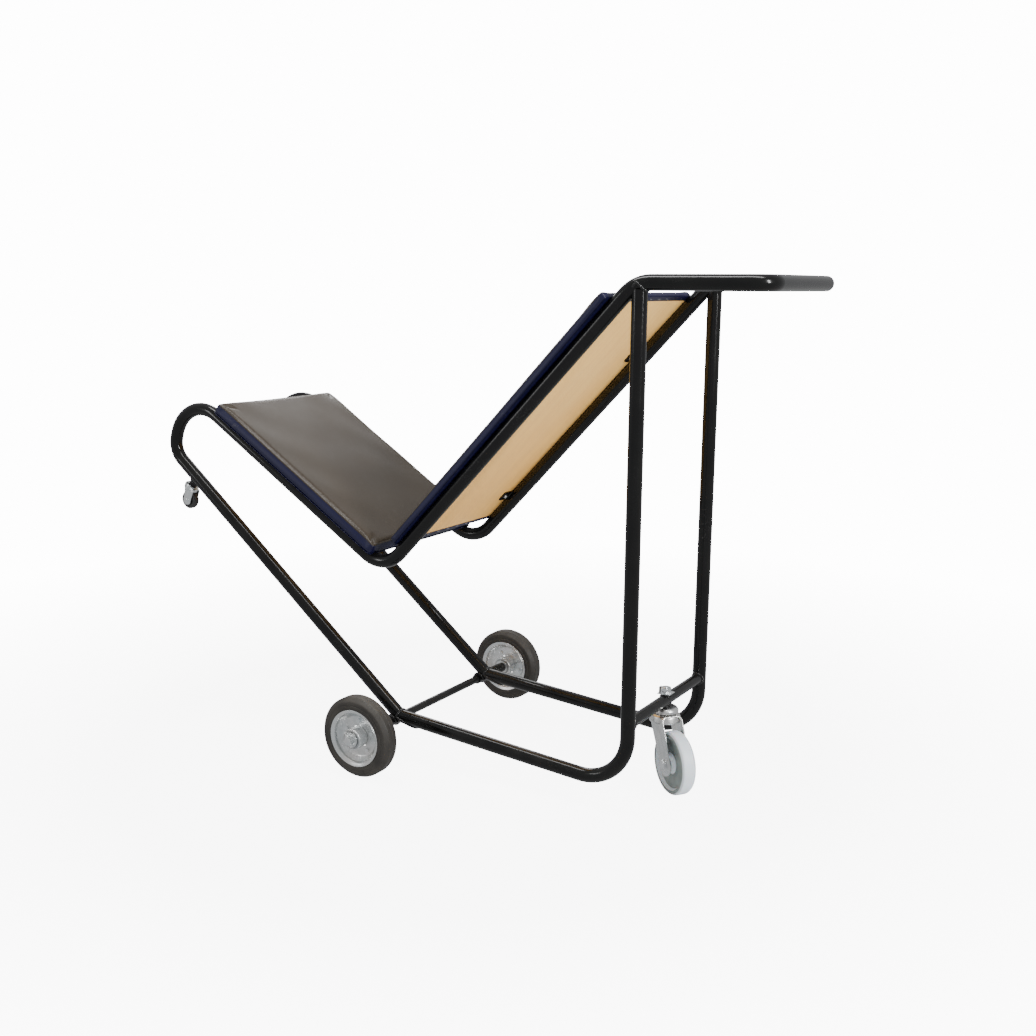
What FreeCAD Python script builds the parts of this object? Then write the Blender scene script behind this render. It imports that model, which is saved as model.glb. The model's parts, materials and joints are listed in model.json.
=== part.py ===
import FreeCAD, Part
import math
import os
import Sketcher

# Hotel luggage trolley with a V-shaped padded bed.
# Frame: +X runs from the nose to the handle, +Y to the right-hand side frame, +Z up.
# Origin: on the floor, halfway between the tip of the nose and the end of the handle, between the side frames.
# "left" and "right" are as seen by a person who pushes at the handle and looks towards the nose.

Vector = FreeCAD.Vector

doc = FreeCAD.newDocument("luggage_trolley")
sheet = doc.addObject("Spreadsheet::Sheet", "sizes")

# Driving dimensions: millimetres, and degrees for the angles.
DIMENSIONS = [
    ("side frames", [
        ("tube_diameter", 33.7),
        ("tube_wall", 2.6),
        ("frame_spacing", 398),
        ("axle_x", -101.6),
        ("foot_offset", 16.5),
        ("foot_rise", 12),
        ("foot_overrun", 12),
        ("diagonal_angle", 39.45),
        ("valley_offset", -22.7),
        ("valley_height", 478.3),
        ("valley_radius", 80),
        ("seat_angle", 32.56),
        ("back_angle", 46.29),
        ("nose_reach", 773),
        ("nose_turn", 106.4),
        ("nose_radius", 100),
        ("crook_radius", 55),
        ("top_radius", 80),
        ("post_offset", 645.5),
        ("post_bury", 14),
        ("rail_rear_height", 61),
        ("rear_radius", 110),
        ("handle_height", 1167),
        ("handle_joint", 60),
        ("handle_reach", 274),
        ("handle_radius", 45),
    ]),
    ("cross members", [
        ("cross_diameter", 26.9),
        ("cross_wall", 2.6),
        ("socket_diameter", 24),
        ("socket_rise", 16),
        ("socket_drop", 20),
        ("sleeve_diameter", 26.9),
        ("sleeve_inward", 26),
        ("axle_diameter", 20),
        ("running_gap", 0.05),
    ]),
    ("main wheels", [
        ("wheel_diameter", 200),
        ("tyre_width", 50),
        ("tyre_flat", 26),
        ("tyre_shoulder", 9),
        ("seat_offset", 0),
        ("bead_width", 38),
        ("wheel_track", 676),
        ("hub_diameter", 52),
        ("hub_length", 66),
        ("bearing_diameter", 47),
        ("bearing_width", 14),
        ("disc_steel", 2),
        ("dish_step", 11),
        ("dish_inset", 12),
        ("lip_height", 8),
        ("lip_flare", 4),
        ("disc_bolt", 6),
        ("disc_bolt_head", 10),
        ("disc_bolt_head_height", 4),
        ("disc_bolt_count", 5),
        ("washer_diameter", 37),
        ("washer_steel", 3),
        ("axle_tail", 14),
        ("split_pin", 4),
        ("split_pin_length", 40),
        ("play", 0.4),
    ]),
    ("bed", [
        ("paint_gap", 0.2),
        ("board_thickness", 9),
        ("seat_foam", 23),
        ("back_foam", 15),
        ("pad_overhang", 25),
        ("pad_wrap", 8),
        ("seat_start", 45),
        ("seat_end", 640),
        ("back_start", 82),
        ("back_end", 895),
        ("seat_lug_low", 150),
        ("seat_lug_high", 540),
        ("back_lug_low", 184),
        ("back_lug_high", 697),
        ("lug_length", 30),
        ("lug_reach", 46),
        ("lug_steel", 4),
        ("screw_diameter", 5),
        ("screw_head", 10),
        ("screw_head_height", 3),
        ("screw_bite", 7),
    ]),
    ("rear caster", [
        ("caster_diameter", 150),
        ("caster_width", 36),
        ("caster_trail", 55),
        ("crown_clearance", 26.7),
        ("caster_heading", -38),
        ("caster_rim", 15),
        ("caster_web", 16),
        ("caster_hub", 44),
        ("caster_hub_length", 42),
        ("caster_hub_flare", 3),
        ("caster_rim_flare", 3),
        ("caster_tread_corner", 4),
        ("stem_diameter", 16),
        ("stem_head", 27),
        ("stem_head_height", 8),
        ("stem_tip", 2),
        ("stem_nut", 24),
        ("stem_nut_height", 13),
        ("tab_steel", 1.5),
        ("tab_gap", 0.25),
        ("tab_ear_width", 12),
        ("race_diameter", 62),
        ("race_thickness", 5),
        ("ball_diameter", 6),
        ("ball_count", 18),
        ("ball_circle", 46),
        ("ball_gap", 0.3),
        ("fork_steel", 4),
        ("fork_gap", 5),
        ("fork_head", 66),
        ("fork_foot", 40),
        ("bushing_diameter", 20),
        ("caster_bolt", 12),
        ("caster_bolt_head", 20),
        ("caster_bolt_head_height", 7),
        ("caster_bolt_tip", 2),
        ("caster_nut", 20),
        ("caster_nut_height", 10),
    ]),
    ("nose casters", [
        ("nose_wheel", 50),
        ("nose_width", 18),
        ("nose_place", 856),
        ("nose_trail", 16),
        ("nose_drop", 68),
        ("boss_diameter", 22),
        ("boss_length", 28),
        ("nose_stem", 10),
        ("nose_stem_head", 16),
        ("nose_race", 30),
        ("nose_head", 34),
        ("nose_steel", 2.5),
        ("nose_gap", 2),
        ("nose_foot", 20),
        ("nose_pin", 6),
        ("nose_pin_head", 12),
        ("nose_tread_corner", 3),
    ]),
]

row = 1
for group_title, entries in DIMENSIONS:
    sheet.set("A%d" % row, group_title)
    row += 1
    for alias, number in entries:
        sheet.set("A%d" % row, alias)
        sheet.set("B%d" % row, str(number))
        sheet.setAlias("B%d" % row, alias)
        row += 1
doc.recompute()

nodes = {}


def size(expression):
    """Number that an expression of sheet values comes to."""
    return float(sheet.evalExpression(expression))


def bind(thing, **expressions):
    """Bind properties to expressions; a double underscore in a name stands for a dot."""
    for name, expression in expressions.items():
        thing.setExpression(name.replace("__", "."), expression)


def keep(thing, label):
    """Give a finished sub-part its name and keep it for writing out."""
    thing.Label = label
    nodes[label] = thing
    return thing


def place(thing, x="0", y="0", z="0", axis=None, angle="0"):
    """Put an object at x, y, z, turned by an angle about an axis."""
    if axis is not None:
        thing.Placement = FreeCAD.Placement(Vector(0, 0, 0), FreeCAD.Rotation(axis, size(angle)))
        thing.setExpression("Placement.Rotation.Angle", "(%s) * 1 deg" % angle)
    bind(thing, Placement__Base__x=x, Placement__Base__y=y, Placement__Base__z=z)
    return thing


def origin_plane(body, role):
    """One of a body's own origin planes, by its role."""
    return [feature for feature in body.Origin.OriginFeatures if feature.Role == role][0]


def new_sketch(body, role, name):
    """Sketch on one of a body's origin planes."""
    sketch = body.newObject("Sketcher::SketchObject", name)
    sketch.AttachmentSupport = [(origin_plane(body, role), "")]
    sketch.MapMode = "FlatFace"
    return sketch


def pin_point(sketch, geometry, end, point):
    """Fix one end of a sketch line at a point given as two expressions."""
    for axis, expression in zip(("DistanceX", "DistanceY"), point):
        fixed = sketch.addConstraint(Sketcher.Constraint(axis, -1, 1, geometry, end, size(expression)))
        sketch.setExpression("Constraints[%d]" % fixed, expression)


def closed_outline(sketch, corners):
    """Closed outline of straight lines through corners given as pairs of expressions."""
    points = [Vector(size(across), size(up), 0) for across, up in corners]
    count = len(points)
    for index in range(count):
        sketch.addGeometry(Part.LineSegment(points[index], points[(index + 1) % count]), False)
    for index in range(count):
        sketch.addConstraint(Sketcher.Constraint("Coincident", index, 2, (index + 1) % count, 1))
        pin_point(sketch, index, 1, corners[index])


def turned(name, corners, axis="Y"):
    """Body turned from an outline of (radius, place along the axis) corners."""
    body = doc.addObject("PartDesign::Body", name)
    sketch = new_sketch(body, "XY_Plane" if axis == "Y" else "XZ_Plane", name + "_outline")
    closed_outline(sketch, corners)
    turn = body.newObject("PartDesign::Revolution", name + "_turn")
    turn.Profile = sketch
    turn.ReferenceAxis = (sketch, ["V_Axis"])
    turn.Angle = 360
    return body


def plate(name, corners, thickness, start):
    """Body padded along Y from an outline of (x, z) corners, from y = start."""
    body = doc.addObject("PartDesign::Body", name)
    sketch = new_sketch(body, "XZ_Plane", name + "_outline")
    sketch.setExpression("AttachmentOffset.Base.z", "-(%s)" % start)
    closed_outline(sketch, corners)
    pad = body.newObject("PartDesign::Pad", name + "_pad")
    pad.Profile = sketch
    pad.Reversed = True
    bind(pad, Length=thickness)
    return body


def ring(name, outer, inner, low, high, axis="Y"):
    """Turned ring between two diameters and two places along its axis; inner may be "0"."""
    corners = [
        ("(%s) / 2" % inner, low),
        ("(%s) / 2" % outer, low),
        ("(%s) / 2" % outer, high),
        ("(%s) / 2" % inner, high),
    ]
    return turned(name, corners, axis)


def box(name, low, high):
    """Box between two corners given as expressions."""
    block = doc.addObject("Part::Box", name)
    spans = ["(%s) - (%s)" % (far, near) for near, far in zip(low, high)]
    bind(block, Length=spans[0], Width=spans[1], Height=spans[2])
    return place(block, *low)


def cylinder(name, diameter, height, x, y, z):
    """Upright cylinder that stands on the point x, y, z."""
    rod = doc.addObject("Part::Cylinder", name)
    bind(rod, Radius="(%s) / 2" % diameter, Height=height)
    return place(rod, x, y, z)


def hexagon(name, across_flats, bore, low, height):
    """Upright hexagonal nut of a height, with its lower face at z = low."""
    prism = doc.addObject("Part::Prism", name + "_prism")
    prism.Polygon = 6
    bind(prism, Circumradius="(%s) / sqrt(3)" % across_flats, Height=height)
    place(prism, "0", "0", low)
    drill = cylinder(name + "_bore", bore, "2 * (%s)" % height, "0", "0", "(%s) - (%s) / 2" % (low, height))
    return cut(name, prism, [drill])


def group(name, things):
    """Several solids as one object."""
    compound = doc.addObject("Part::Compound", name)
    compound.Links = things
    return compound


def joined(name, things):
    """Several overlapping solids as one."""
    fuse = doc.addObject("Part::MultiFuse", name)
    fuse.Shapes = things
    return fuse


def cut(name, base, tools):
    """Base with every tool taken away."""
    result = doc.addObject("Part::Cut", name)
    result.Base = base
    result.Tool = tools[0] if len(tools) == 1 else joined(name + "_tools", tools)
    return result


def bend_points(before, corner, after, radius):
    """Start, middle and end of the arc that rounds a corner."""
    inward = (before - corner).normalize()
    onward = (after - corner).normalize()
    half = inward.getAngle(onward) / 2
    setback = radius / math.tan(half)
    reach = radius / math.sin(half)
    middle_line = (inward + onward).normalize()
    return corner + inward * setback, corner + middle_line * (reach - radius), corner + onward * setback


def bent_path(sketch, corners, radii):
    """Straight runs through the corners, joined by tangent arcs of the given radii, as one fixed path."""
    points = [Vector(size(across), size(up), 0) for across, up in corners]
    guides = []
    for start, end in zip(points, points[1:]):
        guides.append(sketch.addGeometry(Part.LineSegment(start, end), True))
    for index, guide in enumerate(guides):
        pin_point(sketch, guide, 1, corners[index])
        if index + 1 < len(guides):
            sketch.addConstraint(Sketcher.Constraint("Coincident", guide, 2, guides[index + 1], 1))
    pin_point(sketch, guides[-1], 2, corners[-1])

    reached = points[0]
    previous = None
    for index, guide in enumerate(guides):
        last = index + 1 == len(guides)
        arc = None
        if not last:
            radius = size(radii[index])
            arc = bend_points(points[index], points[index + 1], points[index + 2], radius)
        run = sketch.addGeometry(Part.LineSegment(reached, points[-1] if last else arc[0]), False)
        if previous is None:
            sketch.addConstraint(Sketcher.Constraint("Coincident", run, 1, guide, 1))
        else:
            join_smoothly(sketch, previous, run, 1, reached)
            sketch.addConstraint(Sketcher.Constraint("PointOnObject", run, 1, guide))
        if last:
            sketch.addConstraint(Sketcher.Constraint("Coincident", run, 2, guide, 2))
            continue
        sketch.addConstraint(Sketcher.Constraint("PointOnObject", run, 2, guide))
        bend = sketch.addGeometry(Part.Arc(*arc), False)
        join_smoothly(sketch, bend, run, 2, arc[0])
        rounded = sketch.addConstraint(Sketcher.Constraint("Radius", bend, radius))
        sketch.setExpression("Constraints[%d]" % rounded, radii[index])
        previous = bend
        reached = arc[2]


def join_smoothly(sketch, bend, run, run_end, point):
    """Tangent joint between the end of an arc that lies at a point and one end of a straight run."""
    at_start = (sketch.getPoint(bend, 1) - point).Length < (sketch.getPoint(bend, 2) - point).Length
    sketch.addConstraint(Sketcher.Constraint("Tangent", bend, 1 if at_start else 2, run, run_end))


def bent_tube(name, path_plane, section_plane, start, corners, radii, bored=True, extra="0"):
    """Tube of the frame's section, or a core thicker by an extra, along a path that starts at the body's origin."""
    body = doc.addObject("PartDesign::Body", name)
    path = new_sketch(body, path_plane, name + "_path")
    local = [("(%s) - (%s)" % (across, start[0]), "(%s) - (%s)" % (up, start[1])) for across, up in corners]
    bent_path(path, local, radii)
    section = new_sketch(body, section_plane, name + "_section")
    diameters = ["sizes.tube_diameter + " + extra]
    if bored:
        diameters.append("sizes.tube_diameter - 2 * sizes.tube_wall")
    for diameter in diameters:
        circle = section.addGeometry(Part.Circle(Vector(0, 0, 0), Vector(0, 0, 1), size(diameter) / 2), False)
        section.addConstraint(Sketcher.Constraint("Coincident", circle, 3, -1, 1))
        round_size = section.addConstraint(Sketcher.Constraint("Diameter", circle, size(diameter)))
        section.setExpression("Constraints[%d]" % round_size, diameter)
    doc.recompute()
    pipe = body.newObject("PartDesign::AdditivePipe", name + "_pipe")
    pipe.Profile = section
    pipe.Spine = (path, [])
    return body


# Places that several pieces share, in the plane of a side frame.
TUBE_RADIUS = "sizes.tube_diameter / 2"
HALF_SPACING = "sizes.frame_spacing / 2"
AXLE_HEIGHT = "sizes.wheel_diameter / 2"
FOOT = ("sizes.axle_x + sizes.foot_offset", AXLE_HEIGHT + " + sizes.foot_rise")
VALLEY = ("sizes.axle_x + sizes.valley_offset", "sizes.valley_height")
POST_X = "sizes.axle_x + sizes.post_offset"
JOINT_X = POST_X + " + sizes.handle_joint"
BAR_X = POST_X + " + sizes.handle_reach"
TOP_CORNER = (
    VALLEY[0] + " + (sizes.handle_height - sizes.valley_height) / tan(sizes.back_angle)",
    "sizes.handle_height",
)
NOSE_CORNER = (
    VALLEY[0] + " - sizes.nose_reach * cos(sizes.seat_angle)",
    VALLEY[1] + " + sizes.nose_reach * sin(sizes.seat_angle)",
)
# The cap of the hook leaves the nose corner at this heading and meets the diagonal's line at the crook.
CAP_HEADING = "(180 - sizes.seat_angle + sizes.nose_turn)"
CAP_LENGTH = (
    "((({fx}) - ({ax})) * sin(sizes.diagonal_angle) + (({fz}) - ({az})) * cos(sizes.diagonal_angle))"
    " / (cos({cap}) * sin(sizes.diagonal_angle) + sin({cap}) * cos(sizes.diagonal_angle))"
).format(fx=FOOT[0], fz=FOOT[1], ax=NOSE_CORNER[0], az=NOSE_CORNER[1], cap=CAP_HEADING)
CROOK_CORNER = (
    "%s + %s * cos(%s)" % (NOSE_CORNER[0], CAP_LENGTH, CAP_HEADING),
    "%s + %s * sin(%s)" % (NOSE_CORNER[1], CAP_LENGTH, CAP_HEADING),
)
FOOT_END = (
    FOOT[0] + " + sizes.foot_overrun * cos(sizes.diagonal_angle)",
    FOOT[1] + " - sizes.foot_overrun * sin(sizes.diagonal_angle)",
)
BED_CORNERS = [(JOINT_X, "sizes.handle_height"), TOP_CORNER, VALLEY, NOSE_CORNER, CROOK_CORNER, FOOT_END]
BED_RADII = ["sizes.top_radius", "sizes.valley_radius", "sizes.nose_radius", "sizes.crook_radius"]
BASE_CORNERS = [(POST_X, "sizes.handle_height - sizes.post_bury"), (POST_X, "sizes.rail_rear_height"), FOOT]

SIDES = (("left", -1), ("right", 1))
Y_AXIS = Vector(0, 1, 0)
Z_AXIS = Vector(0, 0, 1)

# The rear caster stands on the floor, so the stack over its wheel sets the height of the rear cross tube.
CROWN_LOW = "sizes.caster_diameter + sizes.crown_clearance"
CROWN_HIGH = CROWN_LOW + " + sizes.fork_steel"
RACE_LOW = CROWN_HIGH + " + sizes.ball_diameter + sizes.ball_gap"
SOCKET_LOW = RACE_LOW + " + sizes.race_thickness"
CROSS_HEIGHT = SOCKET_LOW + " + sizes.socket_drop"
SOCKET_HIGH = CROSS_HEIGHT + " + sizes.socket_rise"

# Where the main wheels sit along the axle, counted outwards from the middle plane.
WHEEL_Y = "sizes.wheel_track / 2"
HUB_IN = WHEEL_Y + " - sizes.hub_length / 2"
HUB_OUT = WHEEL_Y + " + sizes.hub_length / 2"
SLEEVE_END = HUB_IN + " - sizes.play - sizes.washer_steel"
WASHER_OUT = HUB_OUT + " + sizes.play + sizes.washer_steel"
AXLE_END = WASHER_OUT + " + sizes.axle_tail"
PIN_Y = WASHER_OUT + " + sizes.split_pin"
AXLE_BORE = "sizes.axle_diameter + 2 * sizes.running_gap"


def outward(side, expression):
    """Place on a side's outward-counting scale, in the trolley's own Y."""
    return "%d * (%s)" % (side, expression)


# Side frames, handle and cross members.
cores = {}
for name, side in SIDES:
    away = outward(side, HALF_SPACING)
    sleeve_span = (outward(side, HALF_SPACING + " - sizes.sleeve_inward"), outward(side, SLEEVE_END))
    sleeve_core = ring(name + "_sleeve_core", "sizes.sleeve_diameter", "0", *sleeve_span)
    place(sleeve_core, "sizes.axle_x", "0", AXLE_HEIGHT)
    for hollow in (True, False):
        kind = "_tube" if hollow else "_core"
        bed = bent_tube(name + "_bed" + kind + "_body", "XZ_Plane", "YZ_Plane",
                        BED_CORNERS[0], BED_CORNERS, BED_RADII, hollow)
        place(bed, BED_CORNERS[0][0], away, BED_CORNERS[0][1])
        base = bent_tube(name + "_base" + kind + "_body", "XZ_Plane", "XY_Plane",
                         BASE_CORNERS[0], BASE_CORNERS, ["sizes.rear_radius"], hollow)
        place(base, BASE_CORNERS[0][0], away, BASE_CORNERS[0][1])
        if hollow:
            bed_tube, base_tube = bed, base
        else:
            cores[name] = {"bed": bed, "base": base}
    keep(cut(name + "_bed_cut", bed_tube, [sleeve_core]), name + "_bed_tube")
    keep(cut(name + "_base_cut", base_tube, [cores[name]["bed"], sleeve_core]), name + "_base_tube")
    sleeve = ring(name + "_sleeve", "sizes.sleeve_diameter", "sizes.axle_diameter", *sleeve_span)
    keep(place(sleeve, "sizes.axle_x", "0", AXLE_HEIGHT), name + "_axle_sleeve")

HANDLE_CORNERS = [
    (JOINT_X, "-" + HALF_SPACING),
    (BAR_X, "-" + HALF_SPACING),
    (BAR_X, HALF_SPACING),
    (JOINT_X, HALF_SPACING),
]
handle = bent_tube("handle_body", "XY_Plane", "YZ_Plane", HANDLE_CORNERS[0], HANDLE_CORNERS,
                   ["sizes.handle_radius", "sizes.handle_radius"])
keep(place(handle, HANDLE_CORNERS[0][0], HANDLE_CORNERS[0][1], "sizes.handle_height"), "handle_loop")

socket_core = ring("socket_core", "sizes.socket_diameter", "0", SOCKET_LOW, SOCKET_HIGH, "Z")
place(socket_core, POST_X)
socket = ring("socket", "sizes.socket_diameter", "sizes.stem_diameter", SOCKET_LOW, SOCKET_HIGH, "Z")
keep(place(socket, POST_X), "caster_socket")
cross = ring("cross", "sizes.cross_diameter", "sizes.cross_diameter - 2 * sizes.cross_wall",
             "-" + HALF_SPACING, HALF_SPACING)
place(cross, POST_X, "0", CROSS_HEIGHT)
keep(cut("cross_cut", cross, [cores["left"]["base"], cores["right"]["base"], socket_core]), "rear_cross_tube")

# Axle rod with its washers and split pins.
pin_tools = []
for name, side in SIDES:
    pin_tool = cylinder(name + "_pin_hole", "sizes.split_pin", "sizes.split_pin_length",
                        "sizes.axle_x", outward(side, PIN_Y), AXLE_HEIGHT + " - sizes.split_pin_length / 2")
    pin_tools.append(pin_tool)
    pin_leg = cylinder(name + "_pin_leg", "sizes.split_pin", "sizes.split_pin_length",
                       "sizes.axle_x", outward(side, PIN_Y), AXLE_HEIGHT + " - sizes.split_pin_length / 2")
    pin_eye = doc.addObject("Part::Torus", name + "_pin_eye")
    bind(pin_eye, Radius1="sizes.split_pin", Radius2="sizes.split_pin / 2 - sizes.running_gap")
    place(pin_eye, "sizes.axle_x", outward(side, PIN_Y),
          AXLE_HEIGHT + " + sizes.split_pin_length / 2 + sizes.split_pin", Y_AXIS, "90")
    keep(joined(name + "_pin", [pin_leg, pin_eye]), name + "_split_pin")
    spans = {
        "inner": (SLEEVE_END, SLEEVE_END + " + sizes.washer_steel"),
        "outer": (HUB_OUT + " + sizes.play", WASHER_OUT),
    }
    for where, (near, far) in spans.items():
        washer = ring("%s_%s_washer_ring" % (name, where), "sizes.washer_diameter", "sizes.axle_diameter",
                      outward(side, near), outward(side, far))
        keep(place(washer, "sizes.axle_x", "0", AXLE_HEIGHT), "%s_%s_washer" % (name, where))
rod = ring("axle", "sizes.axle_diameter", "0", "-(%s)" % AXLE_END, AXLE_END)
place(rod, "sizes.axle_x", "0", AXLE_HEIGHT)
keep(cut("axle_drilled", rod, pin_tools), "axle_rod")

# Main wheels: every outline is (radius, place along the axle from the wheel's middle plane).
# The tyre seat lies halfway between the hub and the tread, and the bolts halfway across the flat of the disc.
SEAT_RADIUS = "((sizes.hub_diameter + sizes.wheel_diameter) / 4 + sizes.seat_offset)"
LIP_RADIUS = SEAT_RADIUS + " + sizes.lip_height"
DISH_RADIUS = "(" + SEAT_RADIUS + " - sizes.dish_step)"
BOLT_RADIUS = "((sizes.hub_diameter / 2 + " + DISH_RADIUS + ") / 2)"
BEAD = "sizes.bead_width / 2"
LIP = BEAD + " + sizes.lip_flare"
STEEL = "sizes.disc_steel"
TYRE_HALF = [
    (LIP_RADIUS, LIP),
    (LIP_RADIUS + " + sizes.lip_flare", "sizes.tyre_width / 2"),
    ("sizes.wheel_diameter / 2 - sizes.tyre_shoulder", "sizes.tyre_width / 2"),
    ("sizes.wheel_diameter / 2", "sizes.tyre_flat / 2"),
]
TYRE = [(SEAT_RADIUS, BEAD)] + TYRE_HALF
TYRE = TYRE + [(radius, "-(%s)" % away) for radius, away in reversed(TYRE)]
DISC = [
    ("sizes.hub_diameter / 2", "0"),
    (DISH_RADIUS, "0"),
    (SEAT_RADIUS, "sizes.dish_inset"),
    (SEAT_RADIUS, BEAD),
    (LIP_RADIUS, LIP),
    (LIP_RADIUS, LIP + " + " + STEEL),
    (SEAT_RADIUS + " - " + STEEL, BEAD + " + " + STEEL),
    (SEAT_RADIUS + " - " + STEEL, "sizes.dish_inset + " + STEEL),
    (DISH_RADIUS + " - " + STEEL, STEEL),
    ("sizes.hub_diameter / 2", STEEL),
]
for name, side in SIDES:
    wheel_at = ("sizes.axle_x", outward(side, WHEEL_Y), AXLE_HEIGHT)
    keep(place(turned(name + "_tyre_body", TYRE), *wheel_at), name + "_tyre")
    hub = ring(name + "_hub_body", "sizes.hub_diameter", "sizes.bearing_diameter",
               "-sizes.hub_length / 2", "sizes.hub_length / 2")
    keep(place(hub, *wheel_at), name + "_hub_tube")
    for where, facing in (("outer", side), ("inner", -side)):
        seats = [outward(facing, "sizes.hub_length / 2 - sizes.bearing_width"),
                 outward(facing, "sizes.hub_length / 2")]
        bearing = ring("%s_%s_bearing_body" % (name, where), "sizes.bearing_diameter", AXLE_BORE, *seats)
        keep(place(bearing, *wheel_at), "%s_%s_bearing" % (name, where))
    shanks = []
    bolts = []
    for index in range(int(size("sizes.disc_bolt_count"))):
        turn = "(%d * 360 / sizes.disc_bolt_count)" % index
        at = (
            "sizes.axle_x + %s * sin(%s)" % (BOLT_RADIUS, turn),
            outward(side, WHEEL_Y),
            AXLE_HEIGHT + " + %s * cos(%s)" % (BOLT_RADIUS, turn),
        )
        bolt_name = "%s_disc_bolt_%d" % (name, index + 1)
        shank_end = "2 * " + STEEL
        head = STEEL + " + sizes.disc_bolt_head_height"
        shank = ring(bolt_name + "_hole", "sizes.disc_bolt", "0", "-" + shank_end, shank_end)
        shanks.append(place(shank, *at))
        bolt = turned(bolt_name, [
            ("0", "-(%s)" % head),
            ("sizes.disc_bolt_head / 2", "-(%s)" % head),
            ("sizes.disc_bolt_head / 2", "-" + STEEL),
            ("sizes.disc_bolt / 2", "-" + STEEL),
            ("sizes.disc_bolt / 2", STEEL),
            ("sizes.disc_bolt_head / 2", STEEL),
            ("sizes.disc_bolt_head / 2", head),
            ("0", head),
        ])
        bolts.append(place(bolt, *at))
    keep(group(name + "_bolts", bolts), name + "_disc_bolts")
    for where, facing in (("outer", side), ("inner", -side)):
        outline = [(radius, outward(facing, away)) for radius, away in DISC]
        disc = place(turned("%s_%s_disc_body" % (name, where), outline), *wheel_at)
        keep(cut("%s_%s_disc_drilled" % (name, where), disc, shanks), "%s_%s_disc" % (name, where))

# Boards and pads. Each bed half is laid out flat: X runs along its tubes, Z away from them, from the valley.
BOARD_LOW = TUBE_RADIUS + " + sizes.paint_gap"
BOARD_HIGH = BOARD_LOW + " + sizes.board_thickness"
HALF_PAD = "(" + HALF_SPACING + " + sizes.pad_overhang)"
HALF_BOARD = "(" + HALF_PAD + " - sizes.pad_wrap)"
BED_HALVES = {
    "seat": ("sizes.seat_angle", "-sizes.seat_end", "-sizes.seat_start", "sizes.seat_foam",
             ("-sizes.seat_lug_low", "-sizes.seat_lug_high")),
    "back": ("-sizes.back_angle", "sizes.back_start", "sizes.back_end", "sizes.back_foam",
             ("sizes.back_lug_low", "sizes.back_lug_high")),
}
LUG_FAR = HALF_SPACING + " - sizes.lug_reach"
SCREW_Y = HALF_SPACING + " - sizes.lug_reach + sizes.lug_length / 2"
# Where a bend comes closer to a board or pad than the straight tube does, its underside is hollowed to clear it.
reliefs = []
for name, side in SIDES:
    relief = bent_tube(name + "_relief_body", "XZ_Plane", "YZ_Plane", BED_CORNERS[0], BED_CORNERS, BED_RADII,
                       False, "sizes.paint_gap")
    reliefs.append(place(relief, BED_CORNERS[0][0], outward(side, HALF_SPACING), BED_CORNERS[0][1]))
for name, (tilt, low, high, foam, lug_places) in BED_HALVES.items():
    lay = (VALLEY[0], "0", VALLEY[1], Y_AXIS, tilt)
    board_low = (low + " + sizes.pad_wrap", "-(%s)" % HALF_BOARD, BOARD_LOW)
    board_high = (high + " - sizes.pad_wrap", HALF_BOARD, BOARD_HIGH)
    board_blank = box(name + "_board_blank", board_low, board_high)
    board_room = box(name + "_board_room", board_low, board_high)
    pad_blank = box(name + "_pad_blank", (low, "-" + HALF_PAD, BOARD_LOW),
                    (high, HALF_PAD, "%s + %s" % (BOARD_HIGH, foam)))
    pad = place(cut(name + "_pad_wrapped", pad_blank, [board_room]), *lay)
    keep(cut(name + "_pad_relieved", pad, reliefs), name + "_pad")
    lugs = []
    screws = []
    holes = []
    for spot, lug_at in zip(("low", "high"), lug_places):
        for side_name, side in SIDES:
            tag = "%s_%s_%s" % (name, side_name, spot)
            reach = sorted([outward(side, LUG_FAR), outward(side, HALF_SPACING)], key=size)
            lug_bottom = BOARD_LOW + " - sizes.lug_steel"
            lugs.append(box(tag + "_lug", (lug_at + " - sizes.lug_length / 2", reach[0], lug_bottom),
                            (lug_at + " + sizes.lug_length / 2", reach[1], BOARD_LOW)))
            screw_top = BOARD_LOW + " + sizes.screw_bite"
            head_low = lug_bottom + " - sizes.screw_head_height"
            shank = ring(tag + "_hole", "sizes.screw_diameter", "0", head_low, screw_top, "Z")
            holes.append(place(shank, lug_at, outward(side, SCREW_Y)))
            screw = turned(tag + "_screw", [
                ("0", head_low),
                ("sizes.screw_head / 2", head_low),
                ("sizes.screw_head / 2", lug_bottom),
                ("sizes.screw_diameter / 2", lug_bottom),
                ("sizes.screw_diameter / 2", screw_top),
                ("0", screw_top),
            ], "Z")
            screws.append(place(screw, lug_at, outward(side, SCREW_Y)))
    board = place(cut(name + "_board_drilled", board_blank, holes), *lay)
    keep(cut(name + "_board_relieved", board, reliefs), name + "_board")
    keep(place(group(name + "_screw_set", screws), *lay), name + "_screws")
    lug_set = place(cut(name + "_lug_set", group(name + "_lug_blanks", lugs), holes), *lay)
    keep(cut(name + "_lugs_coped", lug_set, [cores["left"]["bed"], cores["right"]["bed"]]), name + "_lugs")

# Rear caster. Heights are from the floor; X and Y are from the stem, with the wheel trailing along +X.
HEAD_HIGH = CROWN_LOW + " - sizes.play"
HEAD_LOW = HEAD_HIGH + " - sizes.stem_head_height"
TAB_HIGH = SOCKET_HIGH + " + sizes.tab_steel"
NUT_HIGH = TAB_HIGH + " + sizes.stem_nut_height"
STEM_HIGH = NUT_HIGH + " + sizes.stem_tip"
stem = turned("stem_body", [
    ("0", HEAD_LOW),
    ("sizes.stem_head / 2", HEAD_LOW),
    ("sizes.stem_head / 2", HEAD_HIGH),
    ("sizes.stem_diameter / 2", HEAD_HIGH),
    ("sizes.stem_diameter / 2", STEM_HIGH),
    ("0", STEM_HIGH),
], "Z")
keep(place(stem, POST_X), "caster_stem_bolt")
race = ring("race_body", "sizes.race_diameter", "sizes.stem_diameter", RACE_LOW, SOCKET_LOW, "Z")
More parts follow.
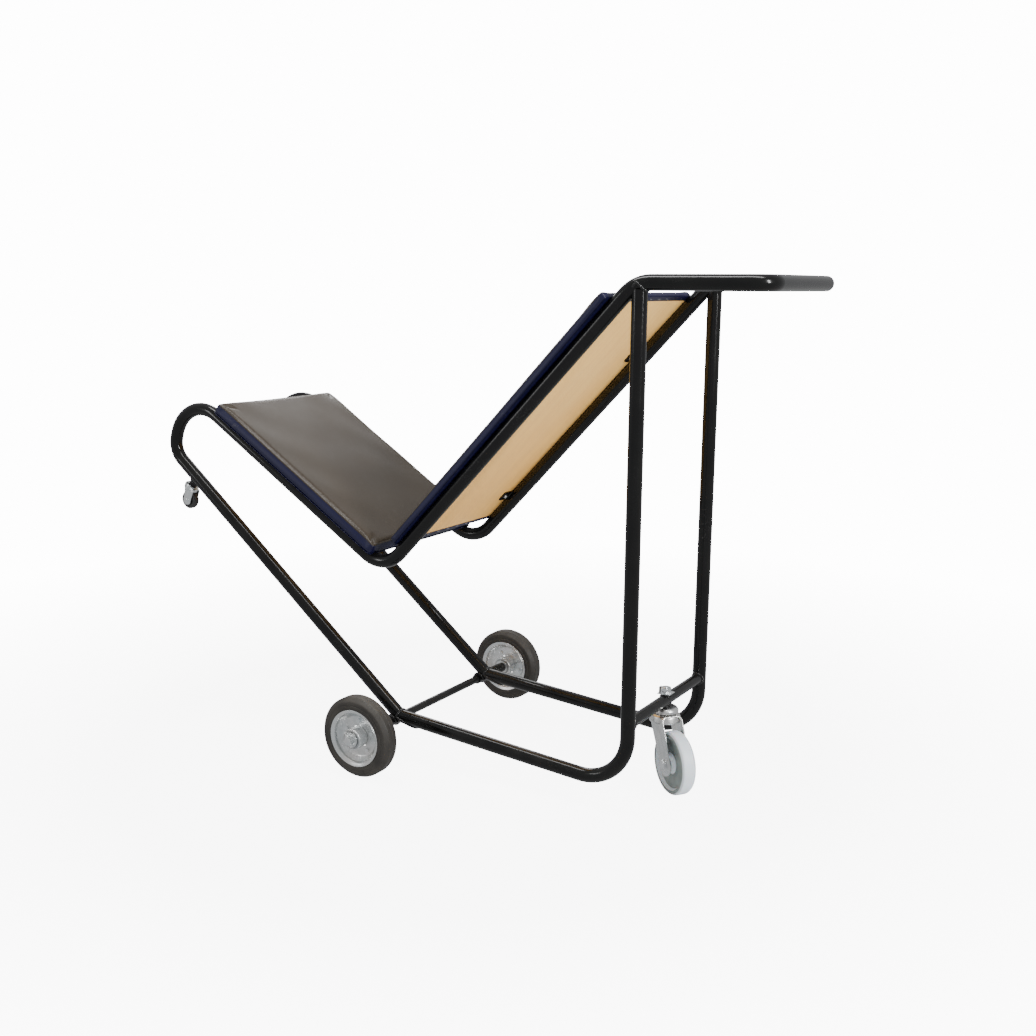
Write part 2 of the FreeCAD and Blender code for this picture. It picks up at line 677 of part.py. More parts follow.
keep(place(race, POST_X), "caster_top_race")

stem_nut = hexagon("stem_nut_hexagon", "sizes.stem_nut", "sizes.stem_diameter",
                   TAB_HIGH, "sizes.stem_nut_height")
keep(place(stem_nut, POST_X), "caster_stem_nut")
# The ear of the tab washer stands just clear of the nut's corner.
EAR_IN = "(sizes.stem_nut / sqrt(3) + sizes.tab_gap)"
EAR_OUT = "(" + EAR_IN + " + sizes.tab_steel)"
tab_plate = box("tab_plate", ("-" + EAR_OUT, "-" + EAR_OUT, SOCKET_HIGH), (EAR_OUT, EAR_OUT, TAB_HIGH))
tab_ear = box("tab_ear", ("-" + EAR_OUT, "-sizes.tab_ear_width / 2", SOCKET_HIGH),
              ("-" + EAR_IN, "sizes.tab_ear_width / 2", NUT_HIGH))
tab_bore = cylinder("tab_bore", "sizes.stem_diameter", "4 * sizes.stem_nut", "0", "0", SOCKET_LOW)
keep(place(cut("tab_washer", joined("tab_blank", [tab_plate, tab_ear]), [tab_bore]), POST_X),
     "caster_tab_washer")
balls = []
for index in range(int(size("sizes.ball_count"))):
    ball = doc.addObject("Part::Sphere", "caster_ball_%d" % (index + 1))
    bind(ball, Radius="sizes.ball_diameter / 2")
    turn = "(%d * 360 / sizes.ball_count)" % index
    balls.append(place(ball, "sizes.ball_circle / 2 * cos(%s)" % turn,
                       "sizes.ball_circle / 2 * sin(%s)" % turn, RACE_LOW + " - sizes.ball_diameter / 2"))
keep(place(group("ball_set", balls), POST_X), "caster_ball_ring")

CASTER_AXLE = "sizes.caster_diameter / 2"
ARM_IN = "sizes.caster_width / 2 + sizes.fork_gap"
ARM_OUT = ARM_IN + " + sizes.fork_steel"
ARM = [
    ("-sizes.fork_head / 2", CROWN_LOW),
    ("sizes.fork_head / 2", CROWN_LOW),
    ("sizes.caster_trail + sizes.fork_foot / 2", CASTER_AXLE),
    ("sizes.caster_trail - sizes.fork_foot / 2", CASTER_AXLE),
]
fork_parts = []
for name, side in SIDES:
    span = sorted([outward(side, ARM_IN), outward(side, ARM_OUT)], key=size)
    fork_parts.append(plate("fork_%s_arm" % name, ARM, "sizes.fork_steel", span[0]))
    foot = ring("fork_%s_foot" % name, "sizes.fork_foot", "0", *span)
    fork_parts.append(place(foot, "sizes.caster_trail", "0", CASTER_AXLE))
fork_parts.append(box("fork_crown", ("-sizes.fork_head / 2", "-(%s)" % ARM_OUT, CROWN_LOW),
                      ("sizes.fork_head / 2", ARM_OUT, CROWN_HIGH)))
fork_bore = cylinder("fork_bore", "sizes.stem_diameter + 2 * sizes.running_gap", "4 * sizes.fork_steel",
                     "0", "0", CROWN_LOW + " - sizes.fork_steel")
bolt_room = ring("fork_bolt_room", "sizes.caster_bolt", "0", "-2 * (%s)" % ARM_OUT, "2 * (%s)" % ARM_OUT)
place(bolt_room, "sizes.caster_trail", "0", CASTER_AXLE)
fork = cut("fork", joined("fork_blank", fork_parts), [fork_bore, bolt_room])
keep(place(fork, POST_X, "0", "0", Z_AXIS, "sizes.caster_heading"), "caster_fork")

CASTER_AT = (
    POST_X + " + sizes.caster_trail * cos(sizes.caster_heading)",
    "sizes.caster_trail * sin(sizes.caster_heading)",
    CASTER_AXLE,
    Z_AXIS,
    "sizes.caster_heading",
)
RIM_IN = "sizes.caster_diameter / 2 - sizes.caster_rim"
HALF_WEB = "sizes.caster_web / 2"
HALF_TREAD = "sizes.caster_width / 2"
HALF_CASTER_HUB = "sizes.caster_hub_length / 2"
CASTER_HALF = [
    ("sizes.bushing_diameter / 2", HALF_CASTER_HUB),
    ("sizes.caster_hub / 2", HALF_CASTER_HUB),
    ("sizes.caster_hub / 2 + sizes.caster_hub_flare", HALF_WEB),
    (RIM_IN, HALF_WEB),
    (RIM_IN + " + sizes.caster_rim_flare", HALF_TREAD),
    ("sizes.caster_diameter / 2 - sizes.caster_tread_corner", HALF_TREAD),
    ("sizes.caster_diameter / 2", HALF_TREAD + " - sizes.caster_tread_corner"),
]
caster_outline = CASTER_HALF + [(radius, "-(%s)" % away) for radius, away in reversed(CASTER_HALF)]
keep(place(turned("caster_wheel_body", caster_outline), *CASTER_AT), "caster_wheel")
bushing = ring("bushing_body", "sizes.bushing_diameter", "sizes.caster_bolt + 2 * sizes.running_gap",
               "-(%s)" % HALF_CASTER_HUB, HALF_CASTER_HUB)
keep(place(bushing, *CASTER_AT), "caster_bushing")
BOLT_HEAD_END = "-(%s) - sizes.caster_bolt_head_height" % ARM_OUT
NUT_END = ARM_OUT + " + sizes.caster_nut_height"
bolt = turned("caster_bolt_body", [
    ("0", BOLT_HEAD_END),
    ("sizes.caster_bolt_head / 2", BOLT_HEAD_END),
    ("sizes.caster_bolt_head / 2", "-(%s)" % ARM_OUT),
    ("sizes.caster_bolt / 2", "-(%s)" % ARM_OUT),
    ("sizes.caster_bolt / 2", NUT_END + " + sizes.caster_bolt_tip"),
    ("0", NUT_END + " + sizes.caster_bolt_tip"),
])
keep(place(bolt, *CASTER_AT), "caster_axle_bolt")
nut = ring("caster_nut_body", "sizes.caster_nut", "sizes.caster_bolt", ARM_OUT, NUT_END)
keep(place(nut, *CASTER_AT), "caster_axle_nut")

# Nose casters. Local Z runs up the stem into the diagonal tube, local X down the tube, where the wheel hangs.
STEM_FOOT = (
    FOOT[0] + " - sizes.nose_place * cos(sizes.diagonal_angle)",
    FOOT[1] + " + sizes.nose_place * sin(sizes.diagonal_angle)",
)
BOSS_LOW = "-sizes.boss_length"
NOSE_RACE_LOW = BOSS_LOW + " - sizes.nose_steel"
NOSE_CROWN_HIGH = NOSE_RACE_LOW + " - sizes.play"
NOSE_CROWN_LOW = NOSE_CROWN_HIGH + " - sizes.nose_steel"
NOSE_HEAD_HIGH = NOSE_CROWN_LOW + " - sizes.play"
NOSE_HEAD_LOW = NOSE_HEAD_HIGH + " - sizes.nose_steel"
BOSS_TOP = "-" + TUBE_RADIUS + " / 2"
NOSE_AXLE = "-sizes.nose_drop"
NOSE_ARM_IN = "sizes.nose_width / 2 + sizes.nose_gap"
NOSE_ARM_OUT = NOSE_ARM_IN + " + sizes.nose_steel"
NOSE_ARM = [
    ("-sizes.nose_head / 2", NOSE_CROWN_LOW),
    ("sizes.nose_head / 2", NOSE_CROWN_LOW),
    ("sizes.nose_trail + sizes.nose_foot / 2", NOSE_AXLE),
    ("sizes.nose_trail - sizes.nose_foot / 2", NOSE_AXLE),
]
for name, side in SIDES:
    away = outward(side, HALF_SPACING)
    hang = (STEM_FOOT[0], away, STEM_FOOT[1], Y_AXIS, "sizes.diagonal_angle")
    boss = ring(name + "_nose_boss_body", "sizes.boss_diameter", "sizes.nose_stem", BOSS_LOW, BOSS_TOP, "Z")
    keep(cut(name + "_nose_boss_coped", place(boss, *hang), [cores[name]["bed"]]), name + "_nose_boss")
    nose_stem = turned(name + "_nose_stem_body", [
        ("0", NOSE_HEAD_LOW),
        ("sizes.nose_stem_head / 2", NOSE_HEAD_LOW),
        ("sizes.nose_stem_head / 2", NOSE_HEAD_HIGH),
        ("sizes.nose_stem / 2", NOSE_HEAD_HIGH),
        ("sizes.nose_stem / 2", NOSE_RACE_LOW),
        ("sizes.nose_race / 2", NOSE_RACE_LOW),
        ("sizes.nose_race / 2", BOSS_LOW),
        ("sizes.nose_stem / 2", BOSS_LOW),
        ("sizes.nose_stem / 2", "-" + TUBE_RADIUS + " - sizes.play"),
        ("0", "-" + TUBE_RADIUS + " - sizes.play"),
    ], "Z")
    keep(place(nose_stem, *hang), name + "_nose_stem")
    nose_fork_parts = []
    for arm_name, arm_side in SIDES:
        tag = "%s_nose_%s" % (name, arm_name)
        span = sorted([outward(arm_side, NOSE_ARM_IN), outward(arm_side, NOSE_ARM_OUT)], key=size)
        nose_fork_parts.append(plate(tag + "_arm", NOSE_ARM, "sizes.nose_steel", span[0]))
        foot = ring(tag + "_foot", "sizes.nose_foot", "0", *span)
        nose_fork_parts.append(place(foot, "sizes.nose_trail", "0", NOSE_AXLE))
    crown = box(name + "_nose_crown", ("-sizes.nose_head / 2", "-(%s)" % NOSE_ARM_OUT, NOSE_CROWN_LOW),
                ("sizes.nose_head / 2", NOSE_ARM_OUT, NOSE_CROWN_HIGH))
    nose_fork_parts.append(crown)
    nose_bore = cylinder(name + "_nose_bore", "sizes.nose_stem + 2 * sizes.running_gap",
                         "4 * sizes.nose_steel", "0", "0", NOSE_CROWN_LOW + " - sizes.nose_steel")
    pin_room = ring(name + "_nose_pin_room", "sizes.nose_pin", "0",
                    "-2 * (%s)" % NOSE_ARM_OUT, "2 * (%s)" % NOSE_ARM_OUT)
    place(pin_room, "sizes.nose_trail", "0", NOSE_AXLE)
    nose_fork = cut(name + "_nose_fork_cut", joined(name + "_nose_fork_blank", nose_fork_parts),
                    [nose_bore, pin_room])
    keep(place(nose_fork, *hang), name + "_nose_fork")
    nose_axle_at = (
        "%s + sizes.nose_trail * cos(sizes.diagonal_angle) - sizes.nose_drop * sin(sizes.diagonal_angle)"
        % STEM_FOOT[0],
        away,
        "%s - sizes.nose_trail * sin(sizes.diagonal_angle) - sizes.nose_drop * cos(sizes.diagonal_angle)"
        % STEM_FOOT[1],
        Y_AXIS,
        "sizes.diagonal_angle",
    )
    wheel = turned(name + "_nose_wheel_body", [
        ("sizes.nose_pin / 2 + sizes.running_gap", "-sizes.nose_width / 2"),
        ("sizes.nose_wheel / 2 - sizes.nose_tread_corner", "-sizes.nose_width / 2"),
        ("sizes.nose_wheel / 2", "-sizes.nose_width / 2 + sizes.nose_tread_corner"),
        ("sizes.nose_wheel / 2", "sizes.nose_width / 2 - sizes.nose_tread_corner"),
        ("sizes.nose_wheel / 2 - sizes.nose_tread_corner", "sizes.nose_width / 2"),
        ("sizes.nose_pin / 2 + sizes.running_gap", "sizes.nose_width / 2"),
    ])
    keep(place(wheel, *nose_axle_at), name + "_nose_wheel")
    rivet = turned(name + "_nose_pin_body", [
        ("0", "-(%s) - sizes.nose_steel" % NOSE_ARM_OUT),
        ("sizes.nose_pin_head / 2", "-(%s) - sizes.nose_steel" % NOSE_ARM_OUT),
        ("sizes.nose_pin_head / 2", "-(%s)" % NOSE_ARM_OUT),
        ("sizes.nose_pin / 2", "-(%s)" % NOSE_ARM_OUT),
        ("sizes.nose_pin / 2", NOSE_ARM_OUT),
        ("sizes.nose_pin_head / 2", NOSE_ARM_OUT),
        ("sizes.nose_pin_head / 2", NOSE_ARM_OUT + " + sizes.nose_steel"),
        ("0", NOSE_ARM_OUT + " + sizes.nose_steel"),
    ])
    keep(place(rivet, *nose_axle_at), name + "_nose_pin")

doc.recompute()
faults = [thing.Label for thing in doc.Objects if "Invalid" in thing.State or "Error" in thing.State]
for label, thing in nodes.items():
    if thing.Shape.isNull() or not thing.Shape.isValid() or not thing.Shape.Solids:
        faults.append(label)
if faults:
    raise RuntimeError("sub-parts that did not build: " + ", ".join(faults))

os.makedirs("parts", exist_ok=True)
for label, thing in nodes.items():
    thing.Shape.exportStep("parts/%s.step" % label)
print("%d sub-parts written" % len(nodes))
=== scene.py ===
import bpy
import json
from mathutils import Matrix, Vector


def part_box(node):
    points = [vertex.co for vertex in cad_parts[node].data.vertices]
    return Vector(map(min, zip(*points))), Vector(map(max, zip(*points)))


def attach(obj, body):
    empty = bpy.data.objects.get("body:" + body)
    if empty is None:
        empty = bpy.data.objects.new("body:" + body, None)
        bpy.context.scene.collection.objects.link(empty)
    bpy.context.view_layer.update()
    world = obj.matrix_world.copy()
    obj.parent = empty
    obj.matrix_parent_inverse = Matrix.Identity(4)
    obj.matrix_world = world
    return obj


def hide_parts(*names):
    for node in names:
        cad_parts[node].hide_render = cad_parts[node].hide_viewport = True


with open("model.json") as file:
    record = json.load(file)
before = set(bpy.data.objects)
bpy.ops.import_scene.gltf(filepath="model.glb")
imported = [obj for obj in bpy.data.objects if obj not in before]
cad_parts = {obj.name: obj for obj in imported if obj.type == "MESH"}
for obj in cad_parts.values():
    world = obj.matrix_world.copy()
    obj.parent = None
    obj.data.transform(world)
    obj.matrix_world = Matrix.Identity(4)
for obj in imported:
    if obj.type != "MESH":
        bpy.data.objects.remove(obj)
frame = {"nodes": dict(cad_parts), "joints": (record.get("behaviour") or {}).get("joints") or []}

"""The looks of a tilting luggage trolley: gloss tube frame, padded V-shaped bed, main wheels and casters.

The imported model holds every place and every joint. This script dresses it: finer pieces stand for the plain
ones, welds and fastenings are added, and each surface gets a procedural finish. All lengths are in metres.
"""

import json
import logging
import math
from dataclasses import dataclass, field
from enum import Enum
from typing import Any, Iterable, Sequence

import bmesh
import bpy
import numpy as np
import numpy.typing as npt
from mathutils import Matrix, Vector

Array = npt.NDArray[np.float64]
Socket = bpy.types.NodeSocket
log = logging.getLogger("luggage_trolley")
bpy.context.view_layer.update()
TURN = 2 * math.pi
BACKDROP = 14.0


class Side(Enum):
    """The two side frames, as seen by a person who pushes at the handle."""

    LEFT = -1
    RIGHT = 1

    @property
    def word(self) -> str:
        """The side's name as it stands in the names of the pieces."""
        return self.name.lower()


def unit(vector: Sequence[float] | Array) -> Array:
    """The vector at length one."""
    array = np.asarray(vector, float)
    return array / np.linalg.norm(array)


def node_box(node: str) -> tuple[Array, Array]:
    """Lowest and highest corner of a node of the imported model."""
    low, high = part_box(node)
    return np.array(low), np.array(high)


def node_centre(node: str) -> Array:
    """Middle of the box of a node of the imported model."""
    low, high = node_box(node)
    return (low + high) / 2


def joint_place(name: str) -> Array:
    """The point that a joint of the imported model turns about."""
    return np.array(next(joint["pos_m"] for joint in frame["joints"] if joint["name"] == name), float)


@dataclass(frozen=True)
class Place:
    """A local frame: an origin and three directions at right angles."""

    origin: Array
    x: Array
    y: Array
    z: Array

    @classmethod
    def facing(cls, origin: Array, z: Sequence[float] | Array, x: Sequence[float] | Array) -> "Place":
        """Frame with a given z direction, and x as near to the given one as that allows."""
        up = unit(z)
        across = np.asarray(x, float)
        across = unit(across - (across @ up) * up)
        return cls(np.asarray(origin, float), across, np.cross(up, across), up)

    def put(self, points: Array) -> Array:
        """Points given in this frame, as points of the whole object."""
        return self.origin + points @ np.stack([self.x, self.y, self.z])

    def moved(self, x: float = 0, y: float = 0, z: float = 0) -> "Place":
        """The same directions from an origin shifted along them."""
        return Place(self.put(np.array([x, y, z], float)), self.x, self.y, self.z)


# ---------------------------------------------------------------------------------------------------------
# Surfaces
# ---------------------------------------------------------------------------------------------------------


@dataclass
class Shape:
    """Points with four-sided faces, and flat caps with more corners."""

    points: Array
    quads: npt.NDArray[np.int64]
    caps: list[list[int]] = field(default_factory=list)

    @classmethod
    def grid(cls, points: Array, loop_rows: bool = False, loop_columns: bool = True,
             cap: bool = False) -> "Shape":
        """Surface through a rows x columns grid of points.

        Args:
            points: Array of rows x columns x 3.
            loop_rows: Whether the last row joins the first.
            loop_columns: Whether the last column joins the first.
            cap: Whether the first and last rows are closed with a flat cap.

        Returns:
            The surface, with its face corners worked out from row and column numbers.
        """
        rows, columns = points.shape[:2]
        row, column = np.meshgrid(
            np.arange(rows if loop_rows else rows - 1),
            np.arange(columns if loop_columns else columns - 1),
            indexing="ij",
        )
        below, beside = (row + 1) % rows, (column + 1) % columns
        corners = [row * columns + column, row * columns + beside, below * columns + beside,
                   below * columns + column]
        caps = [list(range(columns)), list(range((rows - 1) * columns, rows * columns))] if cap else []
        return cls(points.reshape(-1, 3), np.stack(corners, -1).reshape(-1, 4), caps)

    @classmethod
    def joined(cls, shapes: Iterable["Shape"]) -> "Shape":
        """Several shapes as one, their face corners counted on from each other."""
        group = list(shapes)
        starts = np.cumsum([0] + [len(shape.points) for shape in group[:-1]])
        caps = [[int(start) + corner for corner in cap] for shape,
                start in zip(group, starts) for cap in shape.caps]
        quads = [shape.quads + start for shape, start in zip(group, starts)]
        return cls(np.concatenate([shape.points for shape in group]), np.concatenate(quads), caps)

    def at(self, place: Place) -> "Shape":
        """The shape moved from its local frame to its place on the object."""
        return Shape(place.put(self.points), self.quads, self.caps)


def rounded_outline(corners: Sequence[tuple[float, float]], radii: Sequence[float], closed: bool = True,
                    steps: int = 6) -> Array:
    """Polygon whose corners are replaced by tangent arcs.

    An arc of radius r in a corner of half angle h starts r / tan(h) from the corner, and its centre lies
    r / sin(h) away along the bisector; its points turn evenly from the first spoke to the last.

    Args:
        corners: The polygon's corners.
        radii: One radius for each corner; 0 keeps the corner sharp.
        closed: Whether the last corner joins the first.
        steps: Spans in each arc.

    Returns:
        Array of points x 2.
    """
    points = np.asarray(corners, float)
    count = len(points)
    pieces = []
    for index, radius in enumerate(radii):
        corner = points[index]
        if radius <= 0 or (not closed and index in (0, count - 1)):
            pieces.append(corner[None])
            continue
        back, onward = unit(points[index - 1] - corner), unit(points[(index + 1) % count] - corner)
        half = math.acos(float(np.clip(back @ onward, -1, 1))) / 2
        centre = corner + unit(back + onward) * radius / math.sin(half)
        first = corner + back * radius / math.tan(half) - centre
        last = corner + onward * radius / math.tan(half) - centre
        sweep = math.pi - 2 * half
        share = np.linspace(0, 1, steps + 1)[:, None]
        pieces.append(centre + (np.sin((1 - share) * sweep) * first + np.sin(share * sweep) * last)
                      / math.sin(sweep))
    return np.concatenate(pieces)


def turned(outline: Array, closed: bool = True, segments: int = 96) -> Shape:
    """Surface of revolution about local z.

    A point of the outline (radius, height) goes round as (radius cos t, radius sin t, height).

    Args:
        outline: Array of points x 2.
        closed: Whether the outline is a closed loop, as in a ring; an open one ends on the axis.
        segments: Steps round the axis.
    """
    angle = np.arange(segments) / segments * TURN
    radius, height = outline[:, 0, None], outline[:, 1, None]
    points = np.stack([radius * np.cos(angle), radius * np.sin(angle), height + 0 * angle], -1)
    return Shape.grid(points, loop_rows=closed)


def ring(inner: float, outer: float, low: float, high: float, edge: float, segments: int = 64) -> Shape:
    """Flat ring between two radii and two heights, its four edges rounded."""
    corners = [(inner, low), (outer, low), (outer, high), (inner, high)]
    return turned(rounded_outline(corners, [edge] * 4, steps=3), segments=segments)


def hexagon(across_flats: float, low: float, high: float, chamfer: float, bore: float = 0.0) -> Shape:
    """Hexagonal bolt head or nut about local z.

    The flats lie at apothem / cos(angle from the middle of the flat), and the top corners are cut by a cone.

    Args:
        across_flats: Size over two flats.
        low: Height of the flat face that bears.
        high: Height of the chamfered face.
        chamfer: How far the cone comes down at the corners.
        bore: Radius of the hole, or 0 for a bolt head.
    """
    angle = np.arange(96) / 96 * TURN
    apothem = across_flats / 2
    flat = apothem / np.cos((angle + math.pi / 6) % (math.pi / 3) - math.pi / 6)
    cone = np.minimum(flat, apothem * 1.01)
    inner = np.full_like(angle, bore)
    levels = [(inner, low), (flat * 0.985, low), (flat, low + chamfer / 4), (flat, high - chamfer),
              (cone * 0.995, high), (inner, high)]
    rows = [np.stack([radius * np.cos(angle), radius * np.sin(angle), np.full_like(angle, height)], -1)
            for radius, height in levels]
    return Shape.grid(np.stack(rows), loop_rows=bore > 0)


def rounded_rectangle(half_x: Array, half_y: Array, corner: Array, steps: int = 6) -> Array:
    """Outline of a rectangle with quarter-circle corners.

    Args:
        half_x: Half lengths, one for each row.
        half_y: Half widths, one for each row.
        corner: Corner radii, one for each row.
        steps: Spans in each quarter circle.

    Returns:
        Array of rows x points x 2.
    """
    quarter = np.linspace(0, math.pi / 2, steps + 1)
    angle = (np.arange(4)[:, None] * math.pi / 2 + quarter).ravel()
    sign_x = np.repeat([1, -1, -1, 1], steps + 1)
    sign_y = np.repeat([1, 1, -1, -1], steps + 1)
    x = sign_x * (half_x - corner)[:, None] + corner[:, None] * np.cos(angle)
    y = sign_y * (half_y - corner)[:, None] + corner[:, None] * np.sin(angle)
    return np.stack([x, y], -1)


def slab(half_x: float, half_y: float, low: float, high: float, corner: float, edge: float,
         edge_steps: int = 4) -> Shape:
    """Flat plate or block with rounded corners and rounded edges.

    Each row is the outline drawn in by edge (1 - sin a) while it climbs edge (1 - cos a); the top is alike.
    """
    angle = np.linspace(0, math.pi / 2, edge_steps + 1)
    inset = np.concatenate([edge * (1 - np.sin(angle)), edge * (1 - np.sin(angle[::-1]))])
    height = np.concatenate([low + edge * (1 - np.cos(angle)), high - edge * (1 - np.cos(angle[::-1]))])
    outline = rounded_rectangle(half_x - inset, half_y - inset, np.maximum(corner - inset, edge / 10))
    level = np.broadcast_to(height[:, None, None], outline.shape[:2] + (1,))
    return Shape.grid(np.concatenate([outline, level], -1), cap=True)


def tube_along(path: Array, side: Array, radius: Array | float, closed: bool = False,
               around: int = 12) -> Shape:
    """Round bar carried along a path.

    A point is path + radius (side cos a + other sin a), where other stands at right angles to side and path.

    Args:
        path: Array of points x 3.
        side: A direction for each point of the path, or one for all, not along the path.
        radius: One radius, or one for each point of the path.
        closed: Whether the path is a loop; an open one gets flat ends.
        around: Points round the bar.
    """
    if closed:
        onward = np.roll(path, -1, 0) - np.roll(path, 1, 0)
    else:
        onward = np.gradient(path, axis=0)
    onward /= np.linalg.norm(onward, axis=1, keepdims=True)
    first = np.broadcast_to(side, path.shape).astype(float)
    first = first - np.sum(first * onward, 1, keepdims=True) * onward
    first /= np.linalg.norm(first, axis=1, keepdims=True)
    other = np.cross(onward, first)
    angle = np.arange(around) / around * TURN
    thick = np.broadcast_to(radius, len(path))[:, None, None]
    spokes = first[:, None] * np.cos(angle)[:, None] + other[:, None] * np.sin(angle)[:, None]
    return Shape.grid(path[:, None] + thick * spokes, loop_rows=closed, cap=not closed)


def resampled(path: Array, count: int) -> Array:
    """The same open path as evenly spaced points."""
    along = np.concatenate([[0], np.cumsum(np.linalg.norm(np.diff(path, axis=0), axis=1))])
    even = np.linspace(0, along[-1], count)
    return np.stack([np.interp(even, along, path[:, axis]) for axis in range(path.shape[1])], -1)


def smooth_step(value: Array, low: float, high: float) -> Array:
    """0 below low, 1 above high, and 3 t^2 - 2 t^3 between."""
    share = np.clip((value - low) / (high - low), 0, 1)
    return share * share * (3 - 2 * share)


@dataclass(frozen=True)
class Bar:
    """A straight length of tube: a point on its axis, its direction and its outer radius."""

    point: Array
    direction: Array
    radius: float


def weld(mains: Sequence[Bar], branch: Bar, bead: float = 0.0032, steps: int = 120) -> Shape:
    """Bead of weld where a branch tube meets one or more main tubes.

    A line on the branch's skin, p + s b, meets a main tube of radius R where it lies R from the main axis,
    a quadratic in s; the seam takes the outermost of the roots. The bead's radius swells in even ripples.

    Args:
        mains: The tubes that are met.
        branch: The tube that ends there; its direction points away from them.
        bead: Mean radius of the bead.
        steps: Points along the seam.
    """
    out = unit(branch.direction)
    helper = np.array([0.0, 0, 1]) if abs(out[2]) < 0.9 else np.array([1.0, 0, 0])
    across = unit(np.cross(out, helper))
    angle = np.arange(steps) / steps * TURN
    spokes = np.cos(angle)[:, None] * across + np.sin(angle)[:, None] * np.cross(out, across)
    skin = branch.point + branch.radius * spokes
    reach = np.full(steps, -np.inf)
    for main in mains:
        axis = unit(main.direction)
        offset = (skin - main.point) - ((skin - main.point) @ axis)[:, None] * axis
        slope = out - (out @ axis) * axis
        half_b = offset @ slope
        inside = half_b ** 2 - (slope @ slope) * (np.sum(offset ** 2, 1) - main.radius ** 2)
        reach = np.maximum(reach, (-half_b + np.sqrt(np.maximum(inside, 0))) / (slope @ slope))
    seam = skin + reach[:, None] * out
    ripple = bead * (1 + 0.10 * np.sin(angle * round(TURN * branch.radius / 0.004)))
    return tube_along(seam, spokes, ripple, closed=True, around=14)


# ---------------------------------------------------------------------------------------------------------
# Node graphs and shared effects
# ---------------------------------------------------------------------------------------------------------


class Graph:
    """Short way to lay out the nodes of a material or of a group."""

    def __init__(self, tree: bpy.types.NodeTree) -> None:
        """Starts with an empty tree."""
        self.tree = tree
        tree.nodes.clear()

    def add(self, kind: str, sockets: dict[str | int, Any] | None = None, **settings: Any) -> bpy.types.Node:
        """Adds a node.

        Args:
            kind: The node's type without the words ShaderNode in front.
            sockets: Input name or number to a value, or to a socket that is linked to it.
            settings: Properties of the node.
        """
        name = kind if kind.startswith(("Node", "ShaderNode")) else "ShaderNode" + kind
        node = self.tree.nodes.new(name)
        for setting, value in settings.items():
            setattr(node, setting, value)
        for key, value in (sockets or {}).items():
            if isinstance(value, bpy.types.NodeSocket):
                self.tree.links.new(value, node.inputs[key])
            else:
                node.inputs[key].default_value = value
        return node

    def span(self, value: Socket, low: float, high: float, out_low: float = 0.0,
             out_high: float = 1.0) -> Socket:
        """The value stretched from one range to another, and held inside it."""
        sockets = {"Value": value, "From Min": low, "From Max": high, "To Min": out_low, "To Max": out_high}
        return self.add("MapRange", sockets).outputs["Result"]

    def math(self, operation: str, first: Any, second: Any = 0.0) -> Socket:
        """One sum of two values."""
        return self.add("Math", {0: first, 1: second}, operation=operation).outputs[0]

    def mix(self, share: Any, first: Any, second: Any) -> Socket:
        """Colour between two colours."""
        node = self.add("Mix", data_type="RGBA")
        for key, value in (("Factor_Float", share), ("A_Color", first), ("B_Color", second)):
            socket = next(entry for entry in node.inputs if entry.identifier == key)
            if isinstance(value, bpy.types.NodeSocket):
                self.tree.links.new(value, socket)
            else:
                socket.default_value = value
        return next(entry for entry in node.outputs if entry.identifier == "Result_Color")

    def effect(self, group: bpy.types.NodeTree, **inputs: Any) -> bpy.types.Node:
        """Places a shared effect with its own values."""
        node = self.tree.nodes.new("ShaderNodeGroup")
        node.node_tree = group
        for name, value in inputs.items():
            socket = node.inputs[name.replace("_", " ")]
            if isinstance(value, bpy.types.NodeSocket):
                self.tree.links.new(value, socket)
            else:
                socket.default_value = value
        return node


def colour(red: float, green: float, blue: float) -> tuple[float, float, float, float]:
    """A colour with full alpha."""
    return (red, green, blue, 1.0)


